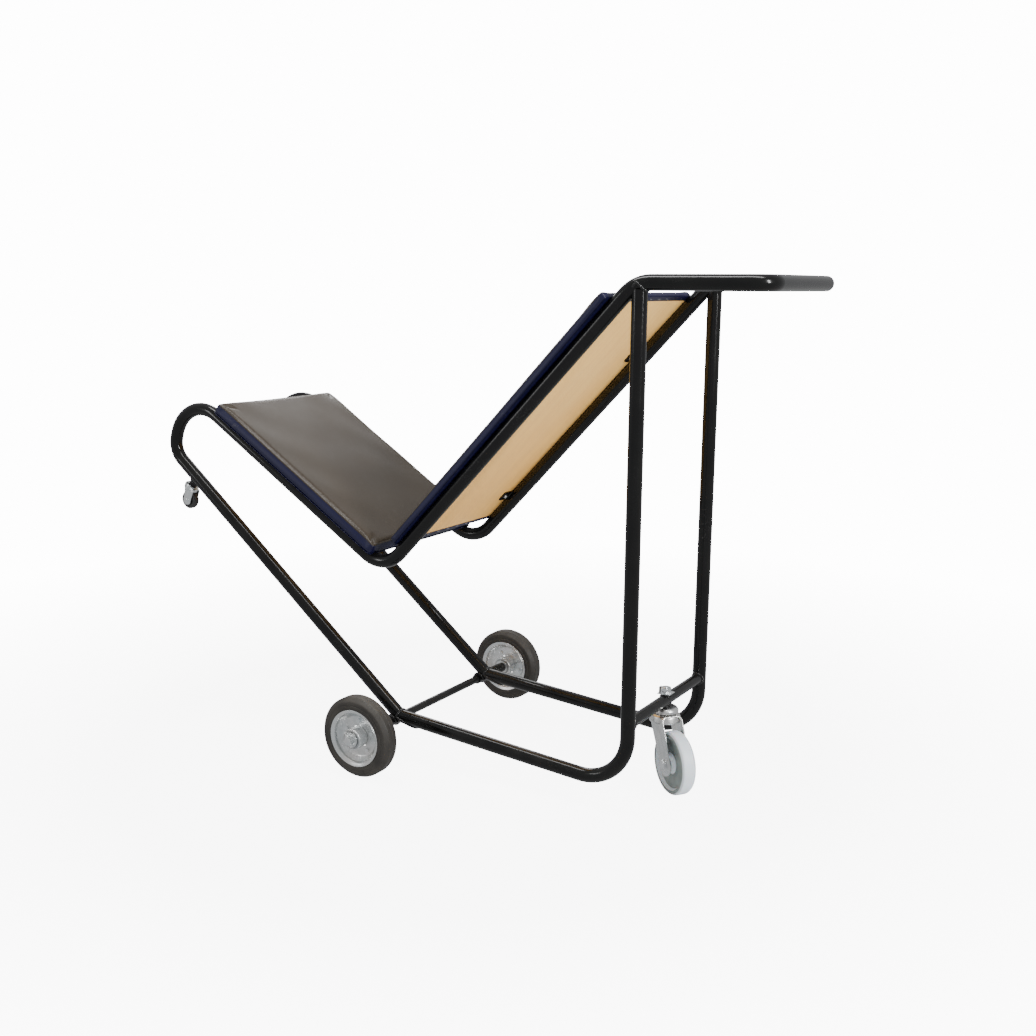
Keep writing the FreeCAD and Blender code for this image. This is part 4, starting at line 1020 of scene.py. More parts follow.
@dataclass
class MainWheel:
    """A stock wheel: solid tyre on two pressed discs, bolted back to back round a hub with bearings."""

    side: Side
    radius: float = 0.100
    tyre_half: float = 0.025
    tread_half: float = 0.013
    shoulder: float = 0.009
    seat_radius: float = 0.063
    bead_half: float = 0.019
    lip_radius: float = 0.071
    lip_flare: float = 0.004
    dish_radius: float = 0.052
    dish_inset: float = 0.012
    hub_radius: float = 0.026
    hub_half: float = 0.033
    steel: float = 0.002
    bearing_radius: float = 0.0235
    bearing_width: float = 0.014
    axle_radius: float = 0.010
    bolt_circle: float = 0.039
    bolt_size: float = 0.010
    bolt_count: int = 5

    def __post_init__(self) -> None:
        """Stands the wheel's frame on its joint, z outwards."""
        self.word = self.side.word
        self.body = f"{self.word}_wheel"
        self.place = Place.facing(joint_place(f"{self.word}_wheel_spin"), [0, self.side.value, 0], [1, 0, 0])

    def tyre(self) -> Shape:
        """Tyre turned from its section: bead, cheek with its ring, shoulder, tread and mould line."""
        lip = self.bead_half + self.lip_flare
        cheek = self.radius - self.shoulder
        half = [(self.seat_radius, self.bead_half), (self.lip_radius, lip),
                (self.lip_radius + 0.002, self.tyre_half),
                (0.0795, self.tyre_half), (0.0805, self.tyre_half - 0.0008),
                (0.0835, self.tyre_half - 0.0008),
                (0.0845, self.tyre_half - 0.0002), (cheek, self.tyre_half - 0.0008),
                (self.radius, self.tread_half),
                (self.radius, 0.0012)]
        rounding = [0.001, 0.001, 0.002, 0.0005, 0.0005, 0.0005, 0.0005, 0.006, 0.006, 0.0004]
        ridge = [(self.radius - 0.0006, 0.0), (self.radius, -0.0012)]
        mirrored = [(radius, -height) for radius, height in reversed(half[:-1])]
        radii = rounding + [0.0004] + rounding[::-1]
        return turned(rounded_outline(half + ridge + mirrored, radii, steps=5), segments=144)

    def disc(self, facing: int) -> Shape:
        """Pressed disc: flat round the hub, a cone out to the seat, a rolled lip; facing is 1 out, -1 in."""
        steel, seat, lip = self.steel, self.seat_radius, self.bead_half + self.lip_flare
        corners = [(self.hub_radius, 0.0), (self.dish_radius, 0.0), (seat, self.dish_inset),
                   (seat, self.bead_half),
                   (self.lip_radius, lip), (self.lip_radius - 0.0006, lip + steel * 0.95),
                   (seat - steel, self.bead_half + steel), (seat - steel, self.dish_inset + steel),
                   (self.dish_radius - steel, steel), (self.hub_radius, steel)]
        radii = [0.0, 0.005, 0.004, 0.003, 0.0006, 0.0006, 0.005, 0.006, 0.007, 0.0]
        outline = rounded_outline([(radius, height * facing) for radius, height in corners], radii, steps=6)
        return turned(outline, segments=128)

    def hub(self) -> Shape:
        """Hub tube with rounded rims and a shallow groove outside each disc."""
        corners = [(self.bearing_radius, -self.hub_half), (self.hub_radius, -self.hub_half),
                   (self.hub_radius, -0.010), (self.hub_radius - 0.0008, -0.009),
                   (self.hub_radius - 0.0008, 0.009),
                   (self.hub_radius, 0.010), (self.hub_radius, self.hub_half),
                   (self.bearing_radius, self.hub_half)]
        return turned(rounded_outline(corners,
                                      [0.0006, 0.0018, 0.0003, 0.0003, 0.0003, 0.0003, 0.0018, 0.0006],
                                      steps=4), segments=96)

    def bearing(self, facing: int) -> Shape:
        """Sealed bearing: outer race, sunk shield, inner race; facing is 1 outside, -1 inside."""
        outer, inner = self.bearing_radius, self.axle_radius + 0.00005
        back, face = self.hub_half - self.bearing_width, self.hub_half
        corners = [(inner, back), (outer, back), (outer, face), (outer - 0.004, face),
                   (outer - 0.0045, face - 0.0009),
                   (inner + 0.0045, face - 0.0009), (inner + 0.004, face), (inner, face)]
        radii = [0.0004, 0.0006, 0.0008, 0.0003, 0.0003, 0.0003, 0.0003, 0.0006]
        return turned(rounded_outline([(radius, height * facing) for radius, height in corners], radii,
                                      steps=3),
                      segments=80)

    def bolts(self) -> Shape:
        """Five bolts: a hexagonal head outside and a nut on a stub of thread inside."""
        shapes = []
        for index in range(self.bolt_count):
            angle = index * TURN / self.bolt_count
            spot = self.place.moved(self.bolt_circle * math.sin(angle), self.bolt_circle * math.cos(angle))
            head = hexagon(self.bolt_size, self.steel, self.steel + 0.004, 0.0009)
            nut = hexagon(self.bolt_size, -self.steel - 0.0044, -self.steel, 0.0009)
            stub = turned(rounded_outline([(0, -self.steel - 0.0066), (0.0028, -self.steel - 0.0066),
                                           (0.0028, -self.steel), (0, -self.steel)], [0, 0.0006, 0, 0]),
                          False, 24)
            shapes += [part.at(spot) for part in (head, nut, stub)]
        return Shape.joined(shapes)

    def build(self, shop: Workshop) -> None:
        """Makes the wheel's pieces."""
        word, body = self.word, self.body
        shop.piece(f"{word}_tyre_moulding", self.tyre().at(self.place), body, TYRE,
                   [f"{word}_tyre"])
        shop.piece(f"{word}_hub_turned", self.hub().at(self.place), body, ZINC,
                   [f"{word}_hub_tube"])
        for where, facing in (("outer", 1), ("inner", -1)):
            shop.piece(f"{word}_{where}_pressing", self.disc(facing).at(self.place), body, ZINC,
                       [f"{word}_{where}_disc"])
            shop.piece(f"{word}_{where}_race", self.bearing(facing).at(self.place), body, SEAL_STEEL,
                       [f"{word}_{where}_bearing"])
        shop.piece(f"{word}_wheel_bolts", self.bolts(), body, BRIGHT_STEEL,
                   [f"{word}_disc_bolts"])


# ---------------------------------------------------------------------------------------------------------
# Casters
# ---------------------------------------------------------------------------------------------------------


@dataclass
class Fork:
    """A fork pressed from one strip: two arms that narrow to a round foot, folded over a crown.

    Its frame has z up the stem, x towards the foot and y across the wheel; heights count from its origin.
    """

    crown_high: float
    axle_height: float
    trail: float
    arm_y: float
    steel: float
    head_half: float
    foot_radius: float
    fold: float
    rib: float
    rows: int = 240

    def shape(self) -> Shape:
        """The strip's section, a flat loop with round edges, carried along its folded line.

        The arms' half width grows from the foot's circle, sqrt(r^2 - d^2) below the axle, to the head's;
        the strip's middle leans by the trail in proportion to the depth; the arms are raised along it.
        """
        low = self.axle_height - self.foot_radius
        line = rounded_outline([(-self.arm_y, low), (-self.arm_y, self.crown_high),
                                (self.arm_y, self.crown_high),
                                (self.arm_y, low)], [0, self.fold, self.fold, 0], closed=False, steps=16)
        ends = 0.5 - 0.5 * np.cos(np.linspace(0, math.pi, self.rows))
        along = np.concatenate([[0], np.cumsum(np.linalg.norm(np.diff(line, axis=0), axis=1))])
        even = ends * along[-1]
        path = np.stack([np.interp(even, along, line[:, axis]) for axis in (0, 1)], -1)
        onward = np.gradient(path, axis=0)
        onward /= np.linalg.norm(onward, axis=1, keepdims=True)
        normal = np.stack([-onward[:, 1], onward[:, 0]], -1)
        depth = np.clip((self.crown_high - path[:, 1]) / (self.crown_high - self.axle_height), 0, 1)
        circle = np.sqrt(np.maximum(self.foot_radius ** 2
                                    - np.minimum(path[:, 1] - self.axle_height, 0) ** 2, 0))
        waist = self.head_half + (self.foot_radius - self.head_half) * smooth_step(depth, 0.0, 1.0)
        width = np.where(path[:, 1] < self.axle_height, circle, waist) - self.steel / 2
        width = np.maximum(width, self.steel / 20)
        middle = self.trail * np.where(depth < 1, depth, 1)
        flat = np.linspace(-1, 1, 17)
        edge = np.linspace(-math.pi / 2, math.pi / 2, 7)[1:-1]
        across = np.concatenate([flat, np.ones(5), flat[::-1], -np.ones(5)])
        beyond = np.concatenate([0 * flat, np.cos(edge), 0 * flat, -np.cos(edge)])
        lift = np.concatenate([0 * flat - 1, np.sin(edge), 0 * flat + 1, -np.sin(edge)])
        raised = self.rib * smooth_step(depth, 0.15, 0.35) * smooth_step(-depth, -1.0, -0.80)
        swell = raised[:, None] * (1 - smooth_step(np.abs(across), 0.30, 0.62))
        x = middle[:, None] + width[:, None] * across + self.steel / 2 * beyond
        rise = self.steel / 2 * lift + swell
        y = path[:, 0, None] + normal[:, 0, None] * rise
        z = path[:, 1, None] + normal[:, 1, None] * rise
        return Shape.grid(np.stack([x, y, z], -1), cap=True)


@dataclass
class RearCaster:
    """The swivel caster under the rear cross tube: races, fork, nylon wheel on a bush, bolt and nuts."""

    wheel_radius: float = 0.075
    wheel_half: float = 0.018
    rim: float = 0.015
    web_half: float = 0.008
    hub_radius: float = 0.022
    hub_half: float = 0.021
    bush_radius: float = 0.010
    bolt_radius: float = 0.006
    trail: float = 0.055
    heading: float = math.radians(-38)
    arm_y: float = 0.025
    steel: float = 0.004
    stem_radius: float = 0.008
    race_radius: float = 0.031
    ball_radius: float = 0.003
    ball_circle: float = 0.023
    ball_count: int = 18

    def __post_init__(self) -> None:
        """Stands the caster's frames on its joints and reads the heights of its stack."""
        stem = joint_place("caster_turn")
        forward = [math.cos(self.heading), math.sin(self.heading), 0]
        self.upright = Place.facing(np.array([stem[0], stem[1], 0]), [0, 0, 1], forward)
        self.axle = Place.facing(joint_place("caster_wheel_spin"), self.upright.y, forward)
        self.race_low, self.race_high = (float(corner[2]) for corner in node_box("caster_top_race"))
        self.crown_high = float(node_box("caster_fork")[1][2])

    def fork(self) -> Shape:
        """The pressed fork with its raised raceway, a dome turned round the stem."""
        strip = Fork(crown_high=self.crown_high - self.steel / 2, axle_height=self.wheel_radius,
                     trail=self.trail,
                     arm_y=self.arm_y, steel=self.steel, head_half=0.034, foot_radius=0.0290, fold=0.011,
                     rib=0.0020)
        top = self.crown_high
        dome = [(self.stem_radius + 0.0006, top - 0.001), (0.0185, top - 0.001), (0.0195, top + 0.0010),
                (0.0275, top + 0.0016), (0.0350, top - 0.0040), (0.0372, top - 0.0150),
                (0.0372, top - 0.0185),
                (0.0356, top - 0.0185), (0.0356, top - 0.0145), (0.0330, top - 0.0050),
                (0.0270, top - 0.0020),
                (self.stem_radius + 0.0006, top - 0.0030)]
        radii = [0, 0.0005, 0.002, 0.004, 0.006, 0.003, 0.0004, 0.0004, 0.003, 0.005, 0.003, 0]
        return Shape.joined([strip.shape(), turned(rounded_outline(dome, radii, steps=5))]).at(self.upright)

    def race(self) -> Shape:
        """The fixed upper race: a domed cap whose skirt hangs outside the balls."""
        low, high = self.race_low, self.race_high
        corners = [(self.stem_radius, high), (self.stem_radius, low), (0.0185, low), (0.0205, low + 0.0012),
                   (0.0255, low + 0.0012), (0.0275, low - 0.0010), (0.0290, low - 0.0028),
                   (self.race_radius, low - 0.0028), (self.race_radius, low + 0.0030),
                   (0.0270, high + 0.0038),
                   (0.0125, high + 0.0056), (0.0125, high)]
        radii = [0.0004, 0.0004, 0.001, 0.001, 0.001, 0.001, 0.0003, 0.0004, 0.004, 0.005, 0.0004, 0.0004]
        return turned(rounded_outline(corners, radii, steps=4)).at(self.upright)

    def balls(self) -> Shape:
        """Ring of steel balls, each a sphere turned from a half circle."""
        angle = np.linspace(-math.pi / 2, math.pi / 2, 9)
        outline = self.ball_radius * np.stack([np.cos(angle), np.sin(angle)], -1)
        ball = turned(outline, closed=False, segments=14)
        turns = [index * TURN / self.ball_count for index in range(self.ball_count)]
        height = self.race_low - self.ball_radius
        return Shape.joined(ball.at(self.upright.moved(self.ball_circle * math.cos(turn),
                                                       self.ball_circle * math.sin(turn), height))
                            for turn in turns)

    def wheel(self) -> Shape:
        """Nylon wheel turned from its section: hub, dished web, stepped rim and a softly crowned tread."""
        seat = self.wheel_radius - self.rim
        half = [(self.bush_radius, self.hub_half), (self.hub_radius, self.hub_half),
                (self.hub_radius + 0.003, self.web_half), (seat - 0.002, self.web_half),
                (seat + 0.003, self.wheel_half),
                (self.wheel_radius - 0.005, self.wheel_half),
                (self.wheel_radius - 0.0003, self.wheel_half - 0.006)]
        radii = [0.0005, 0.002, 0.005, 0.005, 0.0025, 0.0035, 0.008]
        outline = half + [(self.wheel_radius, 0.0)] + [(radius, -height) for radius, height in reversed(half)]
        return turned(rounded_outline(outline, radii + [0] + radii[::-1], steps=6), segments=144)

    def bolt(self) -> Shape:
        """Hexagon bolt through fork and bush, about the wheel's axis, its head on the side facing left."""
        out = self.arm_y + self.steel / 2
        head = hexagon(0.020, -out - 0.0075, -out, 0.0012)
        washer = ring(self.bolt_radius, 0.0115, -out - 0.0012, -out + 0.0002, 0.0004)
        shank = turned(rounded_outline([(0, -out), (self.bolt_radius, -out), (self.bolt_radius, out + 0.0115),
                                        (0, out + 0.0115)], [0, 0, 0.001, 0]), False, 40)
        return Shape.joined([head, washer, shank]).at(self.axle)

    def build(self, shop: Workshop) -> None:
        """Makes the caster's pieces."""
        out = self.arm_y + self.steel / 2
        shop.piece("caster_fork_pressing", self.fork(), "caster_swivel", ZINC, ["caster_fork"])
        shop.piece("caster_bolt_hexagon", self.bolt(), "caster_swivel", BRIGHT_STEEL,
                   ["caster_axle_bolt"])
        nut = Shape.joined([hexagon(0.020, out + 0.0012, out + 0.0105, 0.0012, self.bolt_radius),
                            ring(self.bolt_radius, 0.0115, out, out + 0.0012, 0.0004)]).at(self.axle)
        shop.piece("caster_bolt_nut", nut, "caster_swivel", BRIGHT_STEEL, ["caster_axle_nut"])
        shop.piece("caster_nylon_wheel", self.wheel().at(self.axle), "caster_roller",
                   Nylon(axle=tuple(self.axle.z)), ["caster_wheel"])
        bush = ring(self.bolt_radius + 0.00005, self.bush_radius, -self.hub_half - 0.0006,
                    self.hub_half + 0.0006,
                    0.0005)
        shop.piece("caster_bronze_bush", bush.at(self.axle), "caster_roller", BRONZE,
                   ["caster_bushing"])
        shop.piece("caster_race_cap", self.race(), "frame", ZINC, ["caster_top_race"])
        shop.piece("caster_ball_set", self.balls(), "frame", BRIGHT_STEEL,
                   ["caster_ball_ring"])
        self.build_stem(shop)

    def build_stem(self, shop: Workshop) -> None:
        """Makes the stem bolt, its nut and the tab washer under it."""
        low, high = (float(corner[2]) for corner in node_box("caster_stem_bolt"))
        nut_low, nut_high = (float(corner[2]) for corner in node_box("caster_stem_nut"))
        outline = [(0, low), (0.0125, low), (0.0135, low + 0.0016), (0.0135, low + 0.0068),
                   (0.0120, low + 0.008),
                   (self.stem_radius, low + 0.008), (self.stem_radius, high - 0.0016), (0.0064, high),
                   (0, high)]
        stem = turned(rounded_outline(outline, [0, 0.001, 0.001, 0.001, 0.001, 0.0004, 0.0004, 0.0008, 0]),
                      False, 64)
        shop.piece("caster_stem_turned", stem.at(self.upright), "frame", BRIGHT_STEEL,
                   ["caster_stem_bolt"])
        nut = hexagon(0.024, nut_low, nut_high, 0.0016, self.stem_radius)
        shop.piece("caster_stem_hexagon", nut.at(self.upright), "frame", BRIGHT_STEEL,
                   ["caster_stem_nut"])
        shop.dress("caster_tab_washer", ZINC)


@dataclass
class NoseCaster:
    """A small swivel caster under the nose: stem with a race, cupped fork, rubber wheel on a riveted pin."""

    side: Side
    wheel_radius: float = 0.025
    wheel_half: float = 0.009
    trail: float = 0.016
    drop: float = 0.068
    arm_y: float = 0.01225
    steel: float = 0.0025
    stem_radius: float = 0.005
    race_radius: float = 0.015
    pin_radius: float = 0.003
    boss_length: float = 0.028
    play: float = 0.0004

    def __post_init__(self) -> None:
        """Stands the caster's frames on its joints."""
        self.word = self.side.word
        stem_axis = next(joint["axis"] for joint in frame["joints"]
                         if joint["name"] == f"{self.word}_nose_turn")
        self.stem = Place.facing(joint_place(f"{self.word}_nose_turn"), stem_axis, [1, 0, -1])
        self.axle = Place.facing(joint_place(f"{self.word}_nose_wheel_spin"), [0, 1, 0], self.stem.x)

    def fork(self) -> Shape:
        """Pressed fork under a domed cup that hides the race."""
        top = -self.boss_length - self.steel - self.play
        strip = Fork(crown_high=top - self.steel / 2, axle_height=-self.drop, trail=self.trail,
                     arm_y=self.arm_y,
                     steel=self.steel, head_half=0.0180, foot_radius=0.0135, fold=0.006, rib=0.0010, rows=150)
        cup = [(self.stem_radius + 0.0003, top), (0.0150, top), (0.0188, top - 0.0045),
               (0.0192, top - 0.0105),
               (0.0180, top - 0.0105), (0.0176, top - 0.0052), (0.0145, top - 0.0014),
               (self.stem_radius + 0.0003, top - 0.0014)]
        radii = [0, 0.003, 0.003, 0.0004, 0.0004, 0.003, 0.002, 0]
        return Shape.joined([strip.shape(),
                             turned(rounded_outline(cup, radii, steps=5), segments=64)]).at(self.stem)

    def wheel(self) -> Shape:
        """Solid rubber wheel: sunk hub, raised cheek and a rounded tread."""
        half = [(self.pin_radius + 0.00005, self.wheel_half - 0.0002), (0.0075, self.wheel_half - 0.0002),
                (0.0085, self.wheel_half - 0.0020), (0.0150, self.wheel_half - 0.0020),
                (0.0165, self.wheel_half),
                (self.wheel_radius - 0.003, self.wheel_half), (self.wheel_radius, self.wheel_half - 0.004)]
        radii = [0.0002, 0.0006, 0.0006, 0.0008, 0.001, 0.0025, 0.004]
        outline = half + [(radius, -height) for radius, height in reversed(half)]
        return turned(rounded_outline(outline, radii + radii[::-1], steps=5), segments=80).at(self.axle)

    def pin(self) -> Shape:
        """Rivet with two domed heads, each the cap of a sphere."""
        out = self.arm_y + self.steel / 2
        swing = np.linspace(0, math.pi / 2, 7)
        head = np.stack([0.006 * np.sin(swing), out + 0.0024 * np.cos(swing)], -1)
        shank = np.array([[self.pin_radius, out], [self.pin_radius, -out]])
        outline = np.concatenate([head, shank, head[::-1] * [1, -1]])
        return turned(outline, closed=False, segments=40).at(self.axle)

    def stem_shape(self) -> Shape:
        """Stem turned with its race under the boss and its riveted head under the crown."""
        low = -self.boss_length - 2 * self.steel - 2 * self.play
        foot = low - self.steel
        outline = [(0, foot), (0.0072, foot), (0.008, low), (self.stem_radius, low),
                   (self.stem_radius, -self.boss_length - self.steel),
                   (self.race_radius, -self.boss_length - self.steel),
                   (self.race_radius, -self.boss_length - 0.0004), (0.0140, -self.boss_length),
                   (self.stem_radius, -self.boss_length), (self.stem_radius, -0.0174), (0, -0.0174)]
        radii = [0, 0.0015, 0.0004, 0, 0, 0.0006, 0.0003, 0.0004, 0, 0.0004, 0]
        return turned(rounded_outline(outline, radii, steps=4), closed=False, segments=64).at(self.stem)

    def build(self, shop: Workshop) -> None:
        """Makes the caster's pieces."""
        word = self.word
        swivel = f"{word}_nose_swivel"
        shop.piece(f"{word}_nose_pressing", self.fork(), swivel, ZINC, [f"{word}_nose_fork"])
        shop.piece(f"{word}_nose_rivet", self.pin(), swivel, BRIGHT_STEEL, [f"{word}_nose_pin"])
        shop.piece(f"{word}_nose_rubber", self.wheel(), f"{word}_nose_roller", SOLID_RUBBER,
                   [f"{word}_nose_wheel"])
        shop.piece(f"{word}_nose_spindle", self.stem_shape(), "frame", ZINC,
                   [f"{word}_nose_stem"])


# ---------------------------------------------------------------------------------------------------------
# Bed
# ---------------------------------------------------------------------------------------------------------


@dataclass
class BedHalf:
    """One half of the bed: a board on four lugs, and a two-shade cushion folded round it.

    Its frame has x along the tubes from the valley, y across and z away from the tubes.
    """

    word: str
    slope: float
    start: float
    end: float
    foam: float
    lugs: tuple[float, float]
    valley_offset: float = -0.0227
    valley_height: float = 0.4783
    half_width: float = 0.224
    wrap: float = 0.008
    board_low: float = 0.01705
    board: float = 0.009
    reveal: float = 0.0009
    fold_width: float = 0.015
    corner: float = 0.011
    half_spacing: float = 0.199
    lug_reach: float = 0.046
    lug_length: float = 0.030
    lug_steel: float = 0.004
    tube_radius: float = 0.01685
    voxel: float = 0.005
    swell_cap: float = 0.0032
    pressure: float = 1.4
    last_frame: int = 20

    def __post_init__(self) -> None:
        """Lays the half's frame on the valley."""
        axle = joint_place("left_wheel_spin")
        valley = np.array([axle[0] + self.valley_offset, 0, self.valley_height])
        along = np.array([math.cos(self.slope), 0, -math.sin(self.slope)])
        self.place = Place.facing(valley, [math.sin(self.slope), 0, math.cos(self.slope)], along)
        self.middle = (self.start + self.end) / 2
        self.half_length = abs(self.end - self.start) / 2
        self.top = self.board_low + self.board + self.foam
        self.lug_y = self.half_spacing - self.lug_reach + self.lug_length / 2

    def blank(self) -> Shape:
        """The cushion before it swells: a block drawn in a little, with a generous round on its top edge."""
        shrink, top_round, foot_round = 0.0008, 0.0055, 0.002
        low, high = self.board_low + self.reveal, self.top - 0.0022
        swing = np.linspace(0, math.pi / 2, 6)
        inset = np.concatenate([foot_round * (1 - np.sin(swing)),
                                top_round * (1 - np.sin(swing[::-1]))]) + shrink
        height = np.concatenate([low + foot_round * (1 - np.cos(swing)),
                                 high - top_round * (1 - np.cos(swing[::-1]))])
        outline = rounded_rectangle(self.half_length - inset, self.half_width - inset, self.corner - inset,
                                    steps=6)
        level = np.broadcast_to(height[:, None, None], outline.shape[:2] + (1,))
        shape = Shape.grid(np.concatenate([outline, level], -1), cap=True)
        return Shape(shape.points + [self.middle, 0, 0], shape.quads, shape.caps)

    def swollen(self, made: bpy.types.Object) -> None:
        """Blows the cushion up a little as cloth round foam, its foot held, and caps how far a point may go.

        Args:
            made: The cushion in its local frame; its mesh is replaced.
        """
        scene = bpy.context.scene
        remesh = made.modifiers.new("remesh", "REMESH")
        remesh.mode = "VOXEL"
        remesh.voxel_size = self.voxel
        self.apply(made)
        before = self.points_of(made)
        held = made.vertex_groups.new(name="held")
        still = np.flatnonzero(before[:, 2] < self.board_low + self.board)
        held.add(still.tolist(), 1.0, "REPLACE")
        cloth = made.modifiers.new("cloth", "CLOTH")
        settings = cloth.settings
        settings.quality = 5
        settings.mass = 0.3
        settings.tension_stiffness = settings.compression_stiffness = 20
        settings.bending_stiffness = 1.0
        settings.use_pressure = True
        settings.uniform_pressure_force = self.pressure
        settings.effector_weights.gravity = 0
        settings.vertex_group_mass = "held"
        cloth.point_cache.frame_start = 1
        cloth.point_cache.frame_end = self.last_frame
        for number in range(1, self.last_frame + 1):
            scene.frame_set(number)
        self.apply(made)
        scene.frame_set(1)
        after = self.points_of(made)
        step = after - before
        length = np.linalg.norm(step, axis=1, keepdims=True)
        step *= np.minimum(1, self.swell_cap / np.maximum(length, 1e-9))
        made.data.vertices.foreach_set("co", (before + step).ravel())
        made.vertex_groups.clear()

    @staticmethod
    def apply(made: bpy.types.Object) -> None:
        """Applies every modifier of an object."""
        graph = bpy.context.evaluated_depsgraph_get()
        done = bpy.data.meshes.new_from_object(made.evaluated_get(graph))
        made.modifiers.clear()
        made.data = done

    @staticmethod
    def points_of(made: bpy.types.Object) -> Array:
        """The points of an object's mesh."""
        points = np.zeros(len(made.data.vertices) * 3)
        made.data.vertices.foreach_get("co", points)
        return points.reshape(-1, 3)

    def hollowed(self, points: Array) -> Array:
        """Lifts the underside off the board: each low point inside its outline goes to its upper face."""
        inside = (np.abs(points[:, 0] - self.middle) < self.half_length - self.wrap)
        inside &= (np.abs(points[:, 1]) < self.half_width - self.wrap) & (points[:, 2] < self.board_low
                                                                          + 0.003)
        lifted = points.copy()
        lifted[inside, 2] = self.board_low + self.board
        return lifted

    def dented(self, points: Array) -> Array:
        """Adds the slack of a used cushion: broad low waves on top and short puckers along the seam.

        The waves are sines a quarter of the width long, 0.5 mm high; the puckers are sines of 32 mm length
        along the edge, 0.35 mm deep, that die out within 30 mm of the seam.
        """
        x, y = points[:, 0], points[:, 1]
        edge = np.minimum(self.half_length - np.abs(x - self.middle), self.half_width - np.abs(y))
        upper = smooth_step(points[:, 2], self.top - 0.010, self.top - 0.002)
        waves = 0.0005 * np.sin(x * 31 + 1.3 * np.sin(y * 17)) * np.cos(y * 27 + 0.8)
        puckers = 0.00035 * np.sin((x + y) * TURN / 0.032 + np.sin(x * 23)) * np.exp(-np.maximum(edge, 0)
                                                                                     / 0.030)
        moved = points.copy()
        moved[:, 2] += upper * (waves - np.abs(puckers))
        return moved

    def cushion(self, shop: Workshop) -> None:
        """Makes the cushion: remeshed, swollen, hollowed for its board, marked for its seam and placed."""
        name = f"{self.word}_cushion"
        made = bpy.data.objects.new(name, shop.mesh(name, self.blank()))
        bpy.context.scene.collection.objects.link(made)
        self.swollen(made)
        points = self.hollowed(self.dented(self.points_of(made)))
        edge_rise = self.top - 0.0065
        marks = {"seam": points[:, 2] - edge_rise, "run": points[:, 0] + points[:, 1]}
        for label, values in marks.items():
            mark = made.data.attributes.new(label, "FLOAT", "POINT")
            mark.data.foreach_set("value", values.astype(np.float32))
        made.data.vertices.foreach_set("co", self.place.put(points).ravel())
        made.data.update()
        made.data.polygons.foreach_set("use_smooth", np.ones(len(made.data.polygons), bool))
        made.data.materials.clear()
        made.data.materials.append(VINYL.material(shop.effects))
        smoother = made.modifiers.new("subdivision", "SUBSURF")
        smoother.levels = smoother.render_levels = 1
        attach(made, "frame")
        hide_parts(f"{self.word}_pad")
        log.info("%s: %d faces on frame", name, len(made.data.polygons))

    def fold(self) -> Shape:
        """The cloth turned under the board: a flat frame, soft inside, twice as wide over the tubes."""
        low, high = self.board_low - 0.0001, self.board_low + self.reveal + 0.0004
        width = self.fold_width
        section = np.array([(0.0012, high), (0.0004, (low + high) / 2), (0.0012, low), (width - 0.001, low),
                            (width, (low + high) / 2), (width - 0.001, high)])
        outline = rounded_rectangle(self.half_length - section[:, 0], self.half_width - section[:, 0] * 2,
                                    np.maximum(self.corner - section[:, 0], 0.003), steps=8)
        level = np.broadcast_to(section[:, 1, None, None], outline.shape[:2] + (1,))
        shape = Shape.grid(np.concatenate([outline, level], -1), loop_rows=True)
        return Shape(shape.points + [self.middle, 0, 0], shape.quads, shape.caps).at(self.place)

    def staples(self) -> Shape:
        """Staples that hold the fold between the tubes, each a low bridge of wire, in a row at each end."""
        inset, reach = self.fold_width * 0.55, self.half_spacing - 0.03
        bridge = slab(0.0055, 0.0006, self.board_low - 0.0006, self.board_low + 0.0002, 0.0005, 0.0002, 1)
        shapes = []
        for y in np.linspace(-reach, reach, 9):
            for way in (-1, 1):
                turn = math.pi / 2 + 0.12 * math.sin(y * 91 + way)
                cos, sin = math.cos(turn), math.sin(turn)
                spun = bridge.points @ np.array([[cos, sin, 0], [-sin, cos, 0], [0, 0, 1.0]])
                shift = [self.middle + way * (self.half_length - inset), y, 0]
                shapes.append(Shape(spun + shift, bridge.quads, bridge.caps))
        return Shape.joined(shapes).at(self.place)

    def panel(self) -> Shape:
        """The plywood board with softened edges."""
        shape = slab(self.half_length - self.wrap - 0.0006, self.half_width - self.wrap - 0.0006,
                     self.board_low,
                     self.board_low + self.board - 0.0003, self.corner * 0.6, 0.0006, 2)
        return Shape(shape.points + [self.middle, 0, 0], shape.quads, shape.caps).at(self.place)

    def lug_spots(self) -> list[tuple[float, int]]:
        """Where the lugs stand: place along the tubes, and side."""
        return [(along, side.value) for along in self.lugs for side in Side]

    def lug_plates(self) -> Shape:
        """Four flat lugs with round corners, each running out to the tube that it is welded to."""
        low, high = self.board_low - self.lug_steel, self.board_low - 0.0001
        inner, outer = self.half_spacing - self.lug_reach, self.half_spacing - 0.006
        plate = slab(self.lug_length / 2, (outer - inner) / 2, low, high, 0.006, 0.0006, 3)
        return Shape.joined(plate.at(self.place.moved(along, way * (inner + outer) / 2))
                            for along, way in self.lug_spots())

    def lug_welds(self) -> Shape:
        """A short bead under each lug, where its lower face meets the flank of the tube."""
        low = self.board_low - self.lug_steel
        flank = math.sqrt(self.tube_radius ** 2 - low ** 2)
        beads = []
        for along, way in self.lug_spots():
            x = np.linspace(-self.lug_length * 0.46, self.lug_length * 0.46, 60)
            path = np.stack([along + x, np.full_like(x, way * (self.half_spacing - flank)),
                             np.full_like(x, low)], -1)
            taper = np.sqrt(np.clip(1 - (x / (self.lug_length * 0.47)) ** 6, 0.02, 1))
            bead = 0.0026 * taper * (1 + 0.09 * np.sin(x * TURN / 0.0035))
            beads.append(tube_along(path, np.array([0, 0, 1.0]), bead))
        return Shape.joined(beads).at(self.place)

